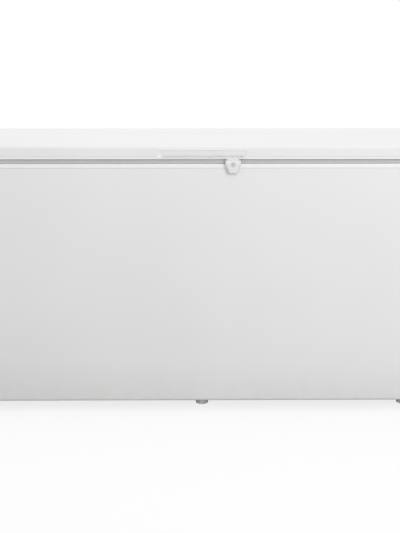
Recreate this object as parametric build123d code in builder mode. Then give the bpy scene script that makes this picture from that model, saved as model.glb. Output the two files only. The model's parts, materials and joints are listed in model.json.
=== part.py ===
"""Large chest freezer: a foamed steel cabinet on feet, a lid on two sprung hinges with a key
lock, two hanging wire baskets, and a cooling unit in the right-hand end.

Millimetres. +X is to the right, +Y to the back and +Z up, so the front faces -Y. The origin
is on the floor, under the middle of the freezer's overall plan.
"""

import os

from build123d import *

os.makedirs("parts", exist_ok=True)

# Overall sizes
lid_width = 1650.0
lid_depth = 680.0
overall_height = 850.0

# Cabinet shell
sheet = 1.0
cabinet_corner_radius = 12.0
bottom_bend = 8.0
bottom_flange = 24.0
wall_insulation = 70.0
floor_insulation = 75.0
foam_clearance = 1.5

# Plastic frame round the cabinet's mouth
frame_face_height = 14.0
frame_proud = 0.5
frame_wall = 3.0
frame_edge_chamfer = 2.5
frame_seam = 1.0
land_width = 45.0
ledge_drop = 18.5
lip_height = 11.0
lip_gap = 0.3

# Inner liner and its step over the cooling unit
liner_sheet = 1.0
liner_corner_radius = 16.0
step_insulation = 64.0

# Lid
lid_height = 40.0
lid_edge_height = 7.0
lid_edge_inset = 0.5
lid_overhang = 5.0
lid_rear_overhang = 2.0
lid_corner_radius = 14.0
lid_top_radius = 8.0
pan_taper = 45.0
lid_liner_wall = 3.0
plug_void_inset = 12.0
plug_depth = 20.0
plug_gap = 10.0
plug_taper = 10.0

# Lid seal
gasket_height = 14.5
gasket_gap = 0.3
gasket_setback = 8.0
gasket_width = 28.0
gasket_waist = 5.0
gasket_base = 4.0
magnet_height = 6.0
dart_width = 6.0
dart_height = 4.0
dart_clearance = 0.3

# Recessed handle in the lid's front
handle_width = 276.0
handle_height = 25.0
handle_depth = 24.0
handle_rise = 3.0
handle_flange = 3.0
handle_flange_thickness = 1.0
handle_wall = 3.0
handle_taper = 10.0

# Lock hanging from the lid
lock_inset = 44.0
shield_width = 50.0
shield_tip_width = 28.0
shield_height = 42.0
shield_drop = 4.0
shield_projection = 12.0
shield_wall = 2.5
shield_corner_radius = 6.0
shield_edge = 2.0
barrel_radius = 6.5
barrel_proud = 1.5
barrel_drop = 15.5
barrel_length = 11.0
barrel_clearance = 0.05
cam_thickness = 2.0
cam_width = 9.0
cam_reach = 20.0
keeper_sheet = 1.5
keeper_width = 14.0
keeper_offset = 4.0
keeper_gap = 1.5
running_gap = 1.0

# Sprung hinges
hinge_inset = 325.0
pivot_back = 17.0
pivot_drop = 5.0
ear_radius = 11.0
hinge_sides = 12
ear_thickness = 3.0
bracket_width = 104.0
bracket_height = 68.0
bracket_plate = 2.5
leaf_width = 84.0
leaf_plate = 3.0
leaf_height = 21.0
lug_thickness = 8.0
lug_span = 72.0
knuckle_radius = 9.0
pin_radius = 4.0
pin_clearance = 0.05
pin_head_radius = 6.0
pin_head_length = 2.5
spring_radius = 8.5
spring_wall = 4.1
side_play = 0.5

# Feet
foot_height = 31.0
foot_radius = 20.0
foot_front_inset = 75.0
foot_rear_inset = 60.0
foot_left_inset = 120.0
foot_right_inset = 160.0

# Compartment for the cooling unit
compartment_width = 290.0
compartment_height = 300.0
tray_sheet = 1.5
tray_slot_width = 8.0
tray_slot_pitch = 32.0
tray_slot_count = 3
compressor_radius = 76.0
compressor_height = 150.0
compressor_crown = 30.0
shell_sides = 24
compressor_base_chamfer = 18.0
compressor_rear_gap = 201.75
terminal_edge = 6.0
leg_plate_width = 200.0
leg_plate_depth = 120.0
leg_plate_thickness = 4.0
mount_spacing_x = 170.0
mount_spacing_y = 90.0
mount_radius = 13.0
mount_height = 18.0
mount_sides = 8
pipe_radius = 4.0
pipe_run = 48.0
drier_radius = 10.0
drier_length = 110.0
drier_chamfer = 6.0

# Coils buried in the foam
evaporator_tube = 4.0
condenser_tube = 3.0
tube_sides = 6
coil_gap = 0.3
coil_passes = 3
coil_pitch = 110.0
coil_step = 60.0

# Side grille with the thermostat
grille_width = 260.0
grille_height = 200.0
grille_y = -130.0
grille_flange = 12.0
grille_plate = 3.0
grille_wall = 2.0
grille_spigot = 12.0
slot_count = 9
slot_height = 9.0
slot_margin = 12.0
louvre_depth = 9.0
control_width = 84.0
cup_size = 60.0
cup_depth = 15.0
knob_radius = 21.0
knob_sides = 12
knob_gap = 0.6
stem_radius = 3.0
stem_clearance = 0.05
thermostat_size = 44.0
thermostat_depth = 26.0
lamp_width = 12.0
lamp_height = 5.0
lamp_spacing = 20.0
lamp_proud = 1.5

# Rear cover of the compartment
cover_sheet = 1.2
cover_overlap = 12.0
cover_margin = 26.0
cover_slot_width = 52.0
cover_slot_height = 8.0
cover_slot_columns = 3
cover_slot_rows = 6
bush_radius = 10.0
bush_flange_radius = 14.0
bush_flange = 2.5
bush_bore = 4.5

# Drain
drain_x_inset = 130.0
drain_radius = 11.0
drain_bore = 9.0
drain_sides = 12
drain_flange_radius = 17.0
drain_flange = 1.5
drain_drop = 37.0
stopper_clearance = 0.3
stopper_length = 12.0
stopper_disc = 3.0
stopper_tab = 7.0

# Hanging baskets
basket_width = 232.0
basket_height = 210.0
basket_wire = 4.0
basket_weld = 3.2
basket_rim = 6.0
basket_end_gap = 8.0
basket_reach = 12.0
basket_left_gap = 134.0
basket_right_gap = 26.0
basket_end_wires = 3
basket_side_wires = 6

# Back panel stiffening
bead_width = 26.0
bead_depth = 3.0
bead_inset = 90.0
bead_taper = 40.0

# Levels
base_z = foot_height
lid_bottom = overall_height - lid_height
pan_bottom = lid_bottom + lid_edge_height
frame_top = lid_bottom - gasket_height
wrapper_top = frame_top - frame_face_height
ledge_z = frame_top - ledge_drop
ledge_under = ledge_z - frame_wall
panel_z = base_z + sheet
floor_z = base_z + floor_insulation
compartment_top = base_z + compartment_height
step_z = compartment_top + step_insulation

# Plan
lock_projection = shield_projection + barrel_proud
hinge_projection = pivot_back + ear_radius
overall_depth = lock_projection + lid_depth - lid_rear_overhang + hinge_projection
lid_front = lock_projection - overall_depth / 2
lid_rear = lid_front + lid_depth
lid_mid = (lid_front + lid_rear) / 2
cabinet_half = lid_width / 2 - lid_overhang
cabinet_front = lid_front + lid_overhang
cabinet_rear = lid_rear - lid_rear_overhang
cabinet_depth = cabinet_rear - cabinet_front
cabinet_mid = (cabinet_front + cabinet_rear) / 2
cavity_half = cabinet_half - wall_insulation
cavity_front = cabinet_front + wall_insulation
cavity_rear = cabinet_rear - wall_insulation
cavity_mid = (cavity_front + cavity_rear) / 2
compartment_wall = cabinet_half - compartment_width
step_x = compartment_wall - step_insulation
panel_inset = cabinet_corner_radius
lock_x = handle_width / 2 - lock_inset
hinge_half = lid_width / 2 - hinge_inset
pivot_y = cabinet_rear + pivot_back
pivot_z = lid_bottom - pivot_drop


def save(builder, name):
    """Label a finished piece and write it under its own name."""
    builder.part.label = name
    export_step(builder.part, f"parts/{name}.step")


def span(x0, x1, y0, y1, mode=Mode.ADD):
    """A rectangle between two corners, in the sketch that is open."""
    with Locations(((x0 + x1) / 2, (y0 + y1) / 2)):
        Rectangle(x1 - x0, y1 - y0, mode=mode)


def cabinet_outline(inset, radius=0.0, mode=Mode.ADD):
    """The cabinet's plan, moved in by an inset, in the sketch that is open."""
    with Locations((0, cabinet_mid)):
        if radius > 0:
            RectangleRounded(2 * (cabinet_half - inset), cabinet_depth - 2 * inset, radius, mode=mode)
        else:
            Rectangle(2 * (cabinet_half - inset), cabinet_depth - 2 * inset, mode=mode)


def lid_outline(inset, radius=0.0, mode=Mode.ADD):
    """The lid's plan, moved in by an inset, in the sketch that is open."""
    with Locations((0, lid_mid)):
        if radius > 0:
            RectangleRounded(lid_width - 2 * inset, lid_depth - 2 * inset, radius, mode=mode)
        else:
            Rectangle(lid_width - 2 * inset, lid_depth - 2 * inset, mode=mode)


def tank(grow, top, rounded=True):
    """The inner tank's space, grown outwards, with its step at the right."""
    with BuildPart() as space:
        with BuildSketch(Plane.XZ.offset(-(cavity_rear + grow))):
            with BuildLine():
                Polyline(
                    (-cavity_half - grow, top),
                    (-cavity_half - grow, floor_z - grow),
                    (step_x + grow, floor_z - grow),
                    (step_x + grow, step_z - grow),
                    (cavity_half + grow, step_z - grow),
                    (cavity_half + grow, top),
                    close=True,
                )
            make_face()
        extrude(amount=cavity_rear - cavity_front + 2 * grow)
        if rounded:
            upright = space.edges().filter_by(Axis.Z).group_by(Axis.X)
            fillet(upright[0] + upright[-1], radius=liner_corner_radius + grow)
    return space.part


# Folded steel wrapper: front and both sides in one sheet, turned in along the bottom
with BuildPart() as outer_wrapper:
    with BuildSketch(Plane.XY.offset(base_z)):
        span(-cabinet_half, cabinet_half, cabinet_front, cabinet_rear - sheet)
    extrude(amount=wrapper_top - base_z)
    front_corners = outer_wrapper.edges().filter_by(Axis.Z).group_by(Axis.Y)[0]
    fillet(front_corners, radius=cabinet_corner_radius)
    bottom_edges = outer_wrapper.edges().group_by(Axis.Z)[0].sort_by(Axis.Y)[:-1]
    fillet(bottom_edges, radius=bottom_bend)
    open_top = outer_wrapper.faces().sort_by(Axis.Z)[-1]
    open_rear = outer_wrapper.faces().sort_by(Axis.Y)[-1]
    offset(amount=-sheet, openings=[open_top, open_rear])
    with BuildSketch(Plane.XY.offset(base_z)):
        span(
            bottom_flange - cabinet_half,
            cabinet_half - bottom_flange,
            cabinet_front + bottom_flange,
            cabinet_rear,
        )
    extrude(amount=sheet, mode=Mode.SUBTRACT)
    with BuildSketch(Plane.YZ.offset(cabinet_half - sheet)):
        with Locations((grille_y, (panel_z + compartment_top) / 2)):
            Rectangle(grille_width, grille_height)
    extrude(amount=sheet, mode=Mode.SUBTRACT)
    with BuildSketch(Plane.YZ.offset(-cabinet_half)):
        with Locations((cavity_mid, floor_z - drain_drop)):
            Circle(drain_radius + stopper_clearance)
    extrude(amount=sheet, mode=Mode.SUBTRACT)
save(outer_wrapper, "outer_wrapper")

# Back panel with pressed stiffening beads and the compartment's opening
cover_left = compartment_wall + cover_margin
cover_right = cabinet_half - cover_margin
cover_bottom = panel_z + cover_margin
cover_top = compartment_top - cover_margin
with BuildPart() as back_panel:
    with BuildSketch(Plane.XZ.offset(-cabinet_rear)):
        span(-cabinet_half, cabinet_half, base_z, wrapper_top)
        span(cover_left, cover_right, cover_bottom, cover_top, mode=Mode.SUBTRACT)
    extrude(amount=sheet)
    bead_left = bead_inset - cabinet_half
    bead_right = cabinet_half - bead_inset
    bead_low = compartment_top + bead_inset
    bead_high = wrapper_top - bracket_height - bead_inset
    with BuildSketch(Plane.XZ.offset(-cabinet_rear).rotated((180, 0, 0))):
        for height in (bead_low, (bead_low + bead_high) / 2, bead_high):
            span(bead_left, bead_right, -height - bead_width / 2, -height + bead_width / 2)
    extrude(amount=bead_depth, taper=bead_taper)
save(back_panel, "back_panel")

# Bottom panel, folded up and over the cooling unit's compartment
with BuildPart() as bottom_panel:
    with BuildSketch(Plane.XZ.offset(sheet - cabinet_rear)):
        with BuildLine():
            Polyline(
                (panel_inset - cabinet_half, panel_z),
                (compartment_wall, panel_z),
                (compartment_wall, compartment_top),
                (cabinet_half - sheet, compartment_top),
                (cabinet_half - sheet, compartment_top + sheet),
                (compartment_wall - sheet, compartment_top + sheet),
                (compartment_wall - sheet, panel_z + sheet),
                (panel_inset - cabinet_half, panel_z + sheet),
                close=True,
            )
        make_face()
    extrude(amount=cabinet_depth - sheet - panel_inset)
save(bottom_panel, "bottom_panel")

# Coil routes: each pass lies level, and a rise at the end of a side leads to the next pass
evaporator_half = cavity_half + liner_sheet + coil_gap + evaporator_tube
evaporator_front = cavity_front - liner_sheet - coil_gap - evaporator_tube
evaporator_rear = cavity_rear + liner_sheet + coil_gap + evaporator_tube
coil_low = (step_z + ledge_under - coil_pitch * (coil_passes - 1)) / 2
coil_levels = [coil_low + coil_pitch * turn for turn in range(coil_passes)]
condenser_half = cabinet_half - sheet - coil_gap - condenser_tube
condenser_front = cabinet_front + sheet + coil_gap + condenser_tube
condenser_rear = cabinet_rear - wall_insulation
channel = 2 * (coil_gap + condenser_tube)
corner_cut = cabinet_corner_radius
reach = evaporator_tube + coil_gap

# Rigid foam between the shells, with channels for both coils
foam_half = cabinet_half - sheet
foam_front = cabinet_front + sheet
foam_rear = cabinet_rear - sheet
with BuildPart() as cabinet_foam:
    with BuildSketch(Plane.XY.offset(panel_z + sheet)):
        span(-foam_half, foam_half, foam_front, foam_rear)
    extrude(amount=ledge_under - panel_z - sheet)
    foam_corners = cabinet_foam.edges().filter_by(Axis.Z).group_by(Axis.Y)[0]
    chamfer(foam_corners, length=cabinet_corner_radius)
    foam_bottom = cabinet_foam.edges().group_by(Axis.Z)[0].sort_by(Axis.Y)[:-1]
    chamfer(foam_bottom, length=bottom_bend + foam_clearance)
    with BuildSketch(Plane.XY.offset(ledge_under)):
        cabinet_outline(frame_wall, cabinet_corner_radius)
        cabinet_outline(land_width - frame_wall, mode=Mode.SUBTRACT)
    extrude(amount=frame_top - frame_wall - ledge_under)
    add(tank(liner_sheet, frame_top, rounded=False), mode=Mode.SUBTRACT)
    with BuildSketch(Plane.XZ.offset(-foam_rear)):
        span(compartment_wall - sheet, cabinet_half, base_z, compartment_top + sheet)
    extrude(amount=cabinet_depth, mode=Mode.SUBTRACT)
    for level in coil_levels:
        with BuildSketch(Plane.XY.offset(level - reach)):
            span(
                -evaporator_half - reach,
                evaporator_half + reach,
                evaporator_front - reach,
                evaporator_rear + reach,
            )
        extrude(amount=2 * reach, mode=Mode.SUBTRACT)
        with BuildSketch(Plane.XY.offset(level - condenser_tube - coil_gap)):
            span(-foam_half, foam_half, foam_front, condenser_rear + channel)
            span(
                channel - foam_half,
                foam_half - channel,
                foam_front + channel,
                condenser_rear + 2 * channel,
                mode=Mode.SUBTRACT,
            )
            pocket = corner_cut + 2 * channel
            span(-foam_half, pocket - foam_half, foam_front, foam_front + pocket)
            span(foam_half - pocket, foam_half, foam_front, foam_front + pocket)
        extrude(amount=channel, mode=Mode.SUBTRACT)
    for turn in range(coil_passes - 1):
        side = 1 if turn % 2 else -1
        wall_x = side * (foam_half - channel / 2)
        with BuildSketch(Plane.XY.offset(coil_levels[turn])):
            with Locations((wall_x, condenser_rear + channel / 2)):
                Rectangle(channel, channel)
            with Locations((side * coil_step / 2, evaporator_rear)):
                Rectangle(2 * reach, 2 * reach)
        extrude(amount=coil_pitch, mode=Mode.SUBTRACT)
    drain_x = drain_x_inset - cavity_half
    drain_room = drain_radius + stopper_clearance
    with BuildSketch(Plane.XY.offset(floor_z - drain_drop - drain_room)):
        span(-cabinet_half, drain_x + drain_room, cavity_mid - drain_room, cavity_mid + drain_room)
    extrude(amount=2 * drain_room, mode=Mode.SUBTRACT)
    with BuildSketch(Plane.XY.offset(floor_z - drain_drop)):
        with Locations((drain_x, cavity_mid)):
            Rectangle(2 * drain_room, 2 * drain_room)
    extrude(amount=drain_drop, mode=Mode.SUBTRACT)
save(cabinet_foam, "cabinet_foam")

# Aluminium inner tank with a step over the cooling unit and a hole for the drain
with BuildPart() as inner_liner:
    add(tank(liner_sheet, ledge_under))
    add(tank(0, ledge_under), mode=Mode.SUBTRACT)
    with BuildSketch(Plane.XY.offset(floor_z - liner_sheet)):
        with Locations((drain_x, cavity_mid)):
            Circle(drain_radius + stopper_clearance)
    extrude(amount=liner_sheet, mode=Mode.SUBTRACT)
save(inner_liner, "inner_liner")

# Moulded frame: face, sealing land, basket ledge and the lip over the liner's edge
lip_outer = wall_insulation + lip_gap
lip_inner = lip_outer + frame_wall
lip_corner = liner_corner_radius - lip_gap
with BuildPart() as top_frame:
    with BuildSketch(Plane.XY.offset(wrapper_top)):
        cabinet_outline(-frame_proud, cabinet_corner_radius + frame_proud)
        cabinet_outline(land_width, mode=Mode.SUBTRACT)
    extrude(amount=frame_face_height)
    top_edges = top_frame.faces().sort_by(Axis.Z)[-1].edges()
    chamfer(top_edges, length=frame_edge_chamfer)
    outer_bottom = top_frame.faces().sort_by(Axis.Z)[0].outer_wire().edges()
    chamfer(outer_bottom, length=frame_seam)
    with BuildSketch(Plane.XY.offset(ledge_under)):
        cabinet_outline(land_width - frame_wall)
        cabinet_outline(lip_inner, lip_corner - frame_wall, mode=Mode.SUBTRACT)
    extrude(amount=frame_wall)
    with BuildSketch(Plane.XY.offset(ledge_under)):
        cabinet_outline(land_width - frame_wall)
        cabinet_outline(land_width, mode=Mode.SUBTRACT)
    extrude(amount=wrapper_top - ledge_under)
    with BuildSketch(Plane.XY.offset(ledge_under - lip_height)):
        cabinet_outline(lip_outer, lip_corner)
        cabinet_outline(lip_inner, lip_corner - frame_wall, mode=Mode.SUBTRACT)
    extrude(amount=lip_height)
    with BuildSketch(Plane.XY.offset(wrapper_top)):
        cabinet_outline(frame_wall, cabinet_corner_radius)
        cabinet_outline(land_width - frame_wall, mode=Mode.SUBTRACT)
    extrude(amount=frame_face_height - frame_wall, mode=Mode.SUBTRACT)
save(top_frame, "top_frame")

# Evaporator tube round the tank
evaporator_route = []
for turn, level in enumerate(coil_levels):
    side = -1 if turn % 2 else 1
    evaporator_route += [
        (side * coil_step / 2, evaporator_rear, level),
        (side * evaporator_half, evaporator_rear, level),
        (side * evaporator_half, evaporator_front, level),
        (-side * evaporator_half, evaporator_front, level),
        (-side * evaporator_half, evaporator_rear, level),
        (-side * coil_step / 2, evaporator_rear, level),
    ]
with BuildPart() as evaporator_coil:
    with BuildLine() as evaporator_path:
        Polyline(*evaporator_route)
    with BuildSketch(Plane(evaporator_path.line @ 0, z_dir=evaporator_path.line % 0)):
        RegularPolygon(evaporator_tube, tube_sides)
    sweep(transition=Transition.RIGHT)
save(evaporator_coil, "evaporator_coil")

# Condenser tube on the inside of the wrapper
condenser_route = []
for turn, level in enumerate(coil_levels):
    side = -1 if turn % 2 else 1
    condenser_route += [
        (side * condenser_half, condenser_rear + channel / 2, level),
        (side * condenser_half, condenser_front + corner_cut, level),
        (side * (condenser_half - corner_cut), condenser_front, level),
        (-side * (condenser_half - corner_cut), condenser_front, level),
        (-side * condenser_half, condenser_front + corner_cut, level),
        (-side * condenser_half, condenser_rear + channel / 2, level),
    ]
with BuildPart() as condenser_coil:
    with BuildLine() as condenser_path:
        Polyline(*condenser_route)
    with BuildSketch(Plane(condenser_path.line @ 0, z_dir=condenser_path.line % 0)):
        RegularPolygon(condenser_tube, tube_sides)
    sweep(transition=Transition.RIGHT)
save(condenser_coil, "condenser_coil")

# Tray that carries the cooling unit, with two raised edges and air slots
tray_top = panel_z + tray_sheet
tray_front = cabinet_front + panel_inset
tray_right = cabinet_half - panel_inset
compressor_x = (compartment_wall + tray_right) / 2
compressor_y = cabinet_rear - compressor_rear_gap
with BuildPart() as compressor_tray:
    with BuildSketch(Plane.XY.offset(panel_z)):
        span(compartment_wall, tray_right, tray_front, cabinet_rear - sheet)
        with Locations((compressor_x, compressor_y)):
            with GridLocations(0, tray_slot_pitch, 1, tray_slot_count):
                Rectangle(leg_plate_width / 2, tray_slot_width, mode=Mode.SUBTRACT)
    extrude(amount=tray_sheet)
    with BuildSketch(Plane.XY.offset(tray_top)):
        span(tray_right - tray_sheet, tray_right, tray_front, cabinet_rear - sheet)
        span(compartment_wall, tray_right, tray_front, tray_front + tray_sheet)
    extrude(amount=bottom_bend)
save(compressor_tray, "compressor_tray")

# Rubber mounts between the tray and the compressor's legs
leg_z = tray_top + mount_height
with BuildPart() as compressor_mounts:
    with BuildSketch(Plane.XY.offset(tray_top)):
        with Locations((compressor_x, compressor_y)):
            with GridLocations(mount_spacing_x, mount_spacing_y, 2, 2):
                RegularPolygon(mount_radius, mount_sides)
    extrude(amount=mount_height)
save(compressor_mounts, "compressor_mounts")

# Hermetic compressor: welded shell on a leg plate
shell_z = leg_z + leg_plate_thickness
with BuildPart() as compressor:
    with BuildSketch(Plane.XY.offset(shell_z)):
        with Locations((compressor_x, compressor_y)):
            RegularPolygon(compressor_radius, shell_sides)
    extrude(amount=compressor_height)
    chamfer(compressor.edges().group_by(Axis.Z)[-1], length=compressor_crown)
    chamfer(compressor.edges().group_by(Axis.Z)[0], length=compressor_base_chamfer)
    with BuildSketch(Plane.XY.offset(leg_z)):
        with Locations((compressor_x, compressor_y)):
            Rectangle(leg_plate_width, leg_plate_depth)
    extrude(amount=leg_plate_thickness)
save(compressor, "compressor")

# Terminal cover clipped on the compressor's front side
terminal_width = compressor_radius
terminal_height = compressor_height / 2
terminal_front = compressor_y - compressor_radius - 2 * mount_radius
with BuildPart() as terminal_cover:
    with BuildSketch(Plane.XY.offset(shell_z + compressor_base_chamfer)):
        span(
            compressor_x - terminal_width / 2,
            compressor_x + terminal_width / 2,
            terminal_front,
            compressor_y - compressor_radius / 2,
        )
    extrude(amount=terminal_height)
    front_edges = terminal_cover.faces().sort_by(Axis.Y)[0].edges()
    chamfer(front_edges, length=terminal_edge)
    with BuildSketch(Plane.XY.offset(leg_z)):
        with Locations((compressor_x, compressor_y)):
            RegularPolygon(compressor_radius + coil_gap, shell_sides)
    extrude(amount=compressor_height, mode=Mode.SUBTRACT)
save(terminal_cover, "terminal_cover")

# Filter drier on the compartment wall
drier_x = compartment_wall + drier_radius
drier_y = compressor_y - compressor_radius - drier_length
drier_z = (tray_top + compartment_top) / 2
with BuildPart() as filter_drier:
    with BuildSketch(Plane.XY.offset(drier_z - drier_length / 2)):
        with Locations((drier_x, drier_y)):
            RegularPolygon(drier_radius, mount_sides)
    extrude(amount=drier_length)
    drier_ends = filter_drier.edges().group_by(Axis.Z)
    chamfer(drier_ends[0] + drier_ends[-1], length=drier_chamfer)
save(filter_drier, "filter_drier")

# Copper pipes from the compressor up into the foamed wall
pipe_z = shell_z + compressor_height / 2
pipe_reach = compressor_radius + pipe_run
for pipe_name, pipe_side in (("suction_pipe", 1), ("discharge_pipe", -1)):
    pipe_x = compressor_x + pipe_side * compressor_radius / 2
    with BuildPart() as pipe:
        with BuildLine() as pipe_path:
            Polyline(
                (pipe_x, compressor_y, pipe_z),
                (pipe_x, compressor_y + pipe_reach, pipe_z),
                (pipe_x, compressor_y + pipe_reach, compartment_top),
            )
        with BuildSketch(Plane(pipe_path.line @ 0, z_dir=pipe_path.line % 0)):
            RegularPolygon(pipe_radius, tube_sides)
        sweep(transition=Transition.RIGHT)
        with BuildSketch(Plane.XY.offset(shell_z)):
            with Locations((compressor_x, compressor_y)):
                RegularPolygon(compressor_radius, shell_sides)
        extrude(amount=compressor_height, mode=Mode.SUBTRACT)
    save(pipe, pipe_name)

# Side grille: moulded plate with louvres, and a cup for the thermostat's knob
grille_z = (panel_z + compartment_top) / 2
control_y = grille_y + (grille_width - control_width) / 2
slot_length = grille_width - control_width - 2 * slot_margin
slot_y = grille_y - control_width / 2
slot_pitch = (grille_height - 2 * slot_margin) / slot_count
cup_floor = cabinet_half + grille_plate - cup_depth
cup_back = cup_floor - grille_wall
lamp_z = grille_z + grille_height / 2 - slot_margin - lamp_height / 2
with BuildPart() as vent_grille:
    with BuildSketch(Plane.YZ.offset(cabinet_half)):
        with Locations((grille_y, grille_z)):
            RectangleRounded(
                grille_width + 2 * grille_flange, grille_height + 2 * grille_flange, grille_flange
            )
        with Locations((slot_y, grille_z)):
            with GridLocations(0, slot_pitch, 1, slot_count):
                Rectangle(slot_length, slot_height, mode=Mode.SUBTRACT)
    extrude(amount=grille_plate)
    chamfer(vent_grille.faces().sort_by(Axis.X)[-1].outer_wire().edges(), length=grille_wall)
    with BuildSketch(Plane.YZ.offset(cabinet_half)):
        with Locations((grille_y, grille_z)):
            Rectangle(grille_width - stopper_clearance, grille_height - stopper_clearance)
            Rectangle(
                grille_width - 2 * grille_wall, grille_height - 2 * grille_wall, mode=Mode.SUBTRACT
            )
    extrude(amount=-grille_spigot)
    with BuildSketch(Plane.XZ.offset(slot_length / 2 - slot_y)):
        for turn in range(slot_count):
            blade_z = grille_z + (turn - (slot_count - 1) / 2) * slot_pitch + slot_height / 2
            with BuildLine():
                Polyline(
                    (cabinet_half + grille_plate, blade_z),
                    (cabinet_half - louvre_depth, blade_z + louvre_depth),
                    (cabinet_half - louvre_depth, blade_z + louvre_depth + grille_wall),
                    (cabinet_half + grille_plate, blade_z + grille_wall),
                    close=True,
                )
            make_face()
    extrude(amount=-slot_length)
    with BuildSketch(Plane.YZ.offset(cup_back)):
        with Locations((control_y, grille_z)):
            Rectangle(cup_size + 2 * grille_wall, cup_size + 2 * grille_wall)
    extrude(amount=cup_depth + grille_wall)
    with BuildSketch(Plane.YZ.offset(cup_floor)):
        with Locations((control_y, grille_z)):
            Rectangle(cup_size, cup_size)
    extrude(amount=cup_depth, mode=Mode.SUBTRACT)
    with BuildSketch(Plane.YZ.offset(cup_back)):
        with Locations((control_y, grille_z)):
            Circle(stem_radius + stopper_clearance)
    extrude(amount=grille_wall, mode=Mode.SUBTRACT)
    with BuildSketch(Plane.YZ.offset(cabinet_half)):
        with Locations((control_y, lamp_z)):
            with GridLocations(lamp_spacing, 0, 3, 1):
                Rectangle(lamp_width + stopper_clearance, lamp_height + stopper_clearance)
    extrude(amount=grille_plate, mode=Mode.SUBTRACT)
save(vent_grille, "vent_grille")

# Three small lamp lenses beside the knob
with BuildPart() as pilot_lamps:
    with BuildSketch(Plane.YZ.offset(cabinet_half)):
        with Locations((control_y, lamp_z)):
            with GridLocations(lamp_spacing, 0, 3, 1):
                Rectangle(lamp_width, lamp_height)
    extrude(amount=grille_plate + lamp_proud)
    chamfer(pilot_lamps.edges().group_by(Axis.X)[-1], length=lamp_proud / 2)
save(pilot_lamps, "pilot_lamps")

# Thermostat behind the cup, and the knob on its spindle
with BuildPart() as thermostat:
    with BuildSketch(Plane.YZ.offset(cup_back - thermostat_depth)):
        with Locations((control_y, grille_z)):
            Rectangle(thermostat_size, thermostat_size)
    extrude(amount=thermostat_depth)
    with BuildSketch(Plane.YZ.offset(cup_back - thermostat_depth / 2)):
        with Locations((control_y, grille_z)):
            Circle(stem_radius + stem_clearance)
    extrude(amount=thermostat_depth / 2, mode=Mode.SUBTRACT)
save(thermostat, "thermostat")

knob_back = cup_floor + knob_gap
with BuildPart() as thermostat_knob:
    with BuildSketch(Plane.YZ.offset(knob_back)):
        with Locations((control_y, grille_z)):
            RegularPolygon(knob_radius, knob_sides)
    extrude(amount=cup_depth / 3)
    with BuildSketch(Plane.YZ.offset(knob_back + cup_depth / 3)):
        with Locations((control_y, grille_z)):
            Rectangle(knob_radius / 2, 2 * (knob_radius - 2 * grille_wall))
    extrude(amount=cup_depth / 2)
    chamfer(thermostat_knob.edges().group_by(Axis.X)[-1], length=grille_wall / 2)
    with BuildSketch(Plane.YZ.offset(cup_back - thermostat_depth / 2 + knob_gap)):
        with Locations((control_y, grille_z)):
            Circle(stem_radius)
    extrude(amount=thermostat_depth / 2 + grille_wall)
save(thermostat_knob, "thermostat_knob")

# Slotted cover over the compartment's opening, with the bush for the mains cable
bush_x = cover_left + cover_margin
bush_z = cover_bottom + cover_margin
with BuildPart() as compartment_cover:
    with BuildSketch(Plane.XZ.offset(-cabinet_rear)):
        span(
            cover_left - cover_overlap,
            cover_right + cover_overlap,
            cover_bottom - cover_overlap,
            cover_top + cover_overlap,
        )
        slot_area_z = (bush_z + bush_flange_radius + cover_top) / 2
        with Locations(((cover_left + cover_right) / 2, slot_area_z)):
            with GridLocations(
                (cover_right - cover_left) / cover_slot_columns,
                (cover_top - bush_z - bush_flange_radius) / cover_slot_rows,
                cover_slot_columns,
                cover_slot_rows,
            ):
                Rectangle(cover_slot_width, cover_slot_height, mode=Mode.SUBTRACT)
        with Locations((bush_x, bush_z)):
            Circle(bush_radius, mode=Mode.SUBTRACT)
    extrude(amount=-cover_sheet)
save(compartment_cover, "compartment_cover")

bush_plane = Plane((bush_x, cabinet_rear, bush_z), x_dir=(1, 0, 0), z_dir=(0, -1, 0))
with BuildPart() as cable_bush:
    with BuildSketch(bush_plane.offset(-cover_sheet - bush_flange)):
        RegularPolygon(bush_flange_radius, tube_sides)
        Circle(bush_bore, mode=Mode.SUBTRACT)
    extrude(amount=bush_flange)
    with BuildSketch(bush_plane.offset(-cover_sheet)):
        Circle(bush_radius)
        Circle(bush_bore, mode=Mode.SUBTRACT)
    extrude(amount=cover_sheet)
save(cable_bush, "cable_bush")

# Drain elbow from the tank's floor to the left side
drain_z = floor_z - drain_drop
spout_x = -cabinet_half - drain_flange
with BuildPart() as drain_tube:
    with BuildSketch(Plane.XY.offset(drain_z)):
        with Locations((drain_x, cavity_mid)):
            RegularPolygon(drain_radius, drain_sides)
    extrude(amount=drain_drop)
    with BuildSketch(Plane.XY.offset(floor_z)):
        with Locations((drain_x, cavity_mid)):
            Circle(drain_flange_radius)
    extrude(amount=drain_flange)
    with BuildSketch(Plane.YZ.offset(spout_x)):
        with Locations((cavity_mid, drain_z)):
            RegularPolygon(drain_radius, drain_sides)
    extrude(amount=drain_x - spout_x)
    with BuildSketch(Plane.YZ.offset(spout_x)):
        with Locations((cavity_mid, drain_z)):
            Circle(drain_flange_radius)
    extrude(amount=drain_flange)
    with BuildSketch(Plane.XY.offset(drain_z)):
        with Locations((drain_x, cavity_mid)):
            RegularPolygon(drain_bore, drain_sides, major_radius=False)
    extrude(amount=drain_drop + drain_flange, mode=Mode.SUBTRACT)
    with BuildSketch(Plane.YZ.offset(spout_x)):
        with Locations((cavity_mid, drain_z)):
            RegularPolygon(drain_bore, drain_sides, major_radius=False)
    extrude(amount=drain_x - spout_x, mode=Mode.SUBTRACT)
save(drain_tube, "drain_tube")

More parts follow.
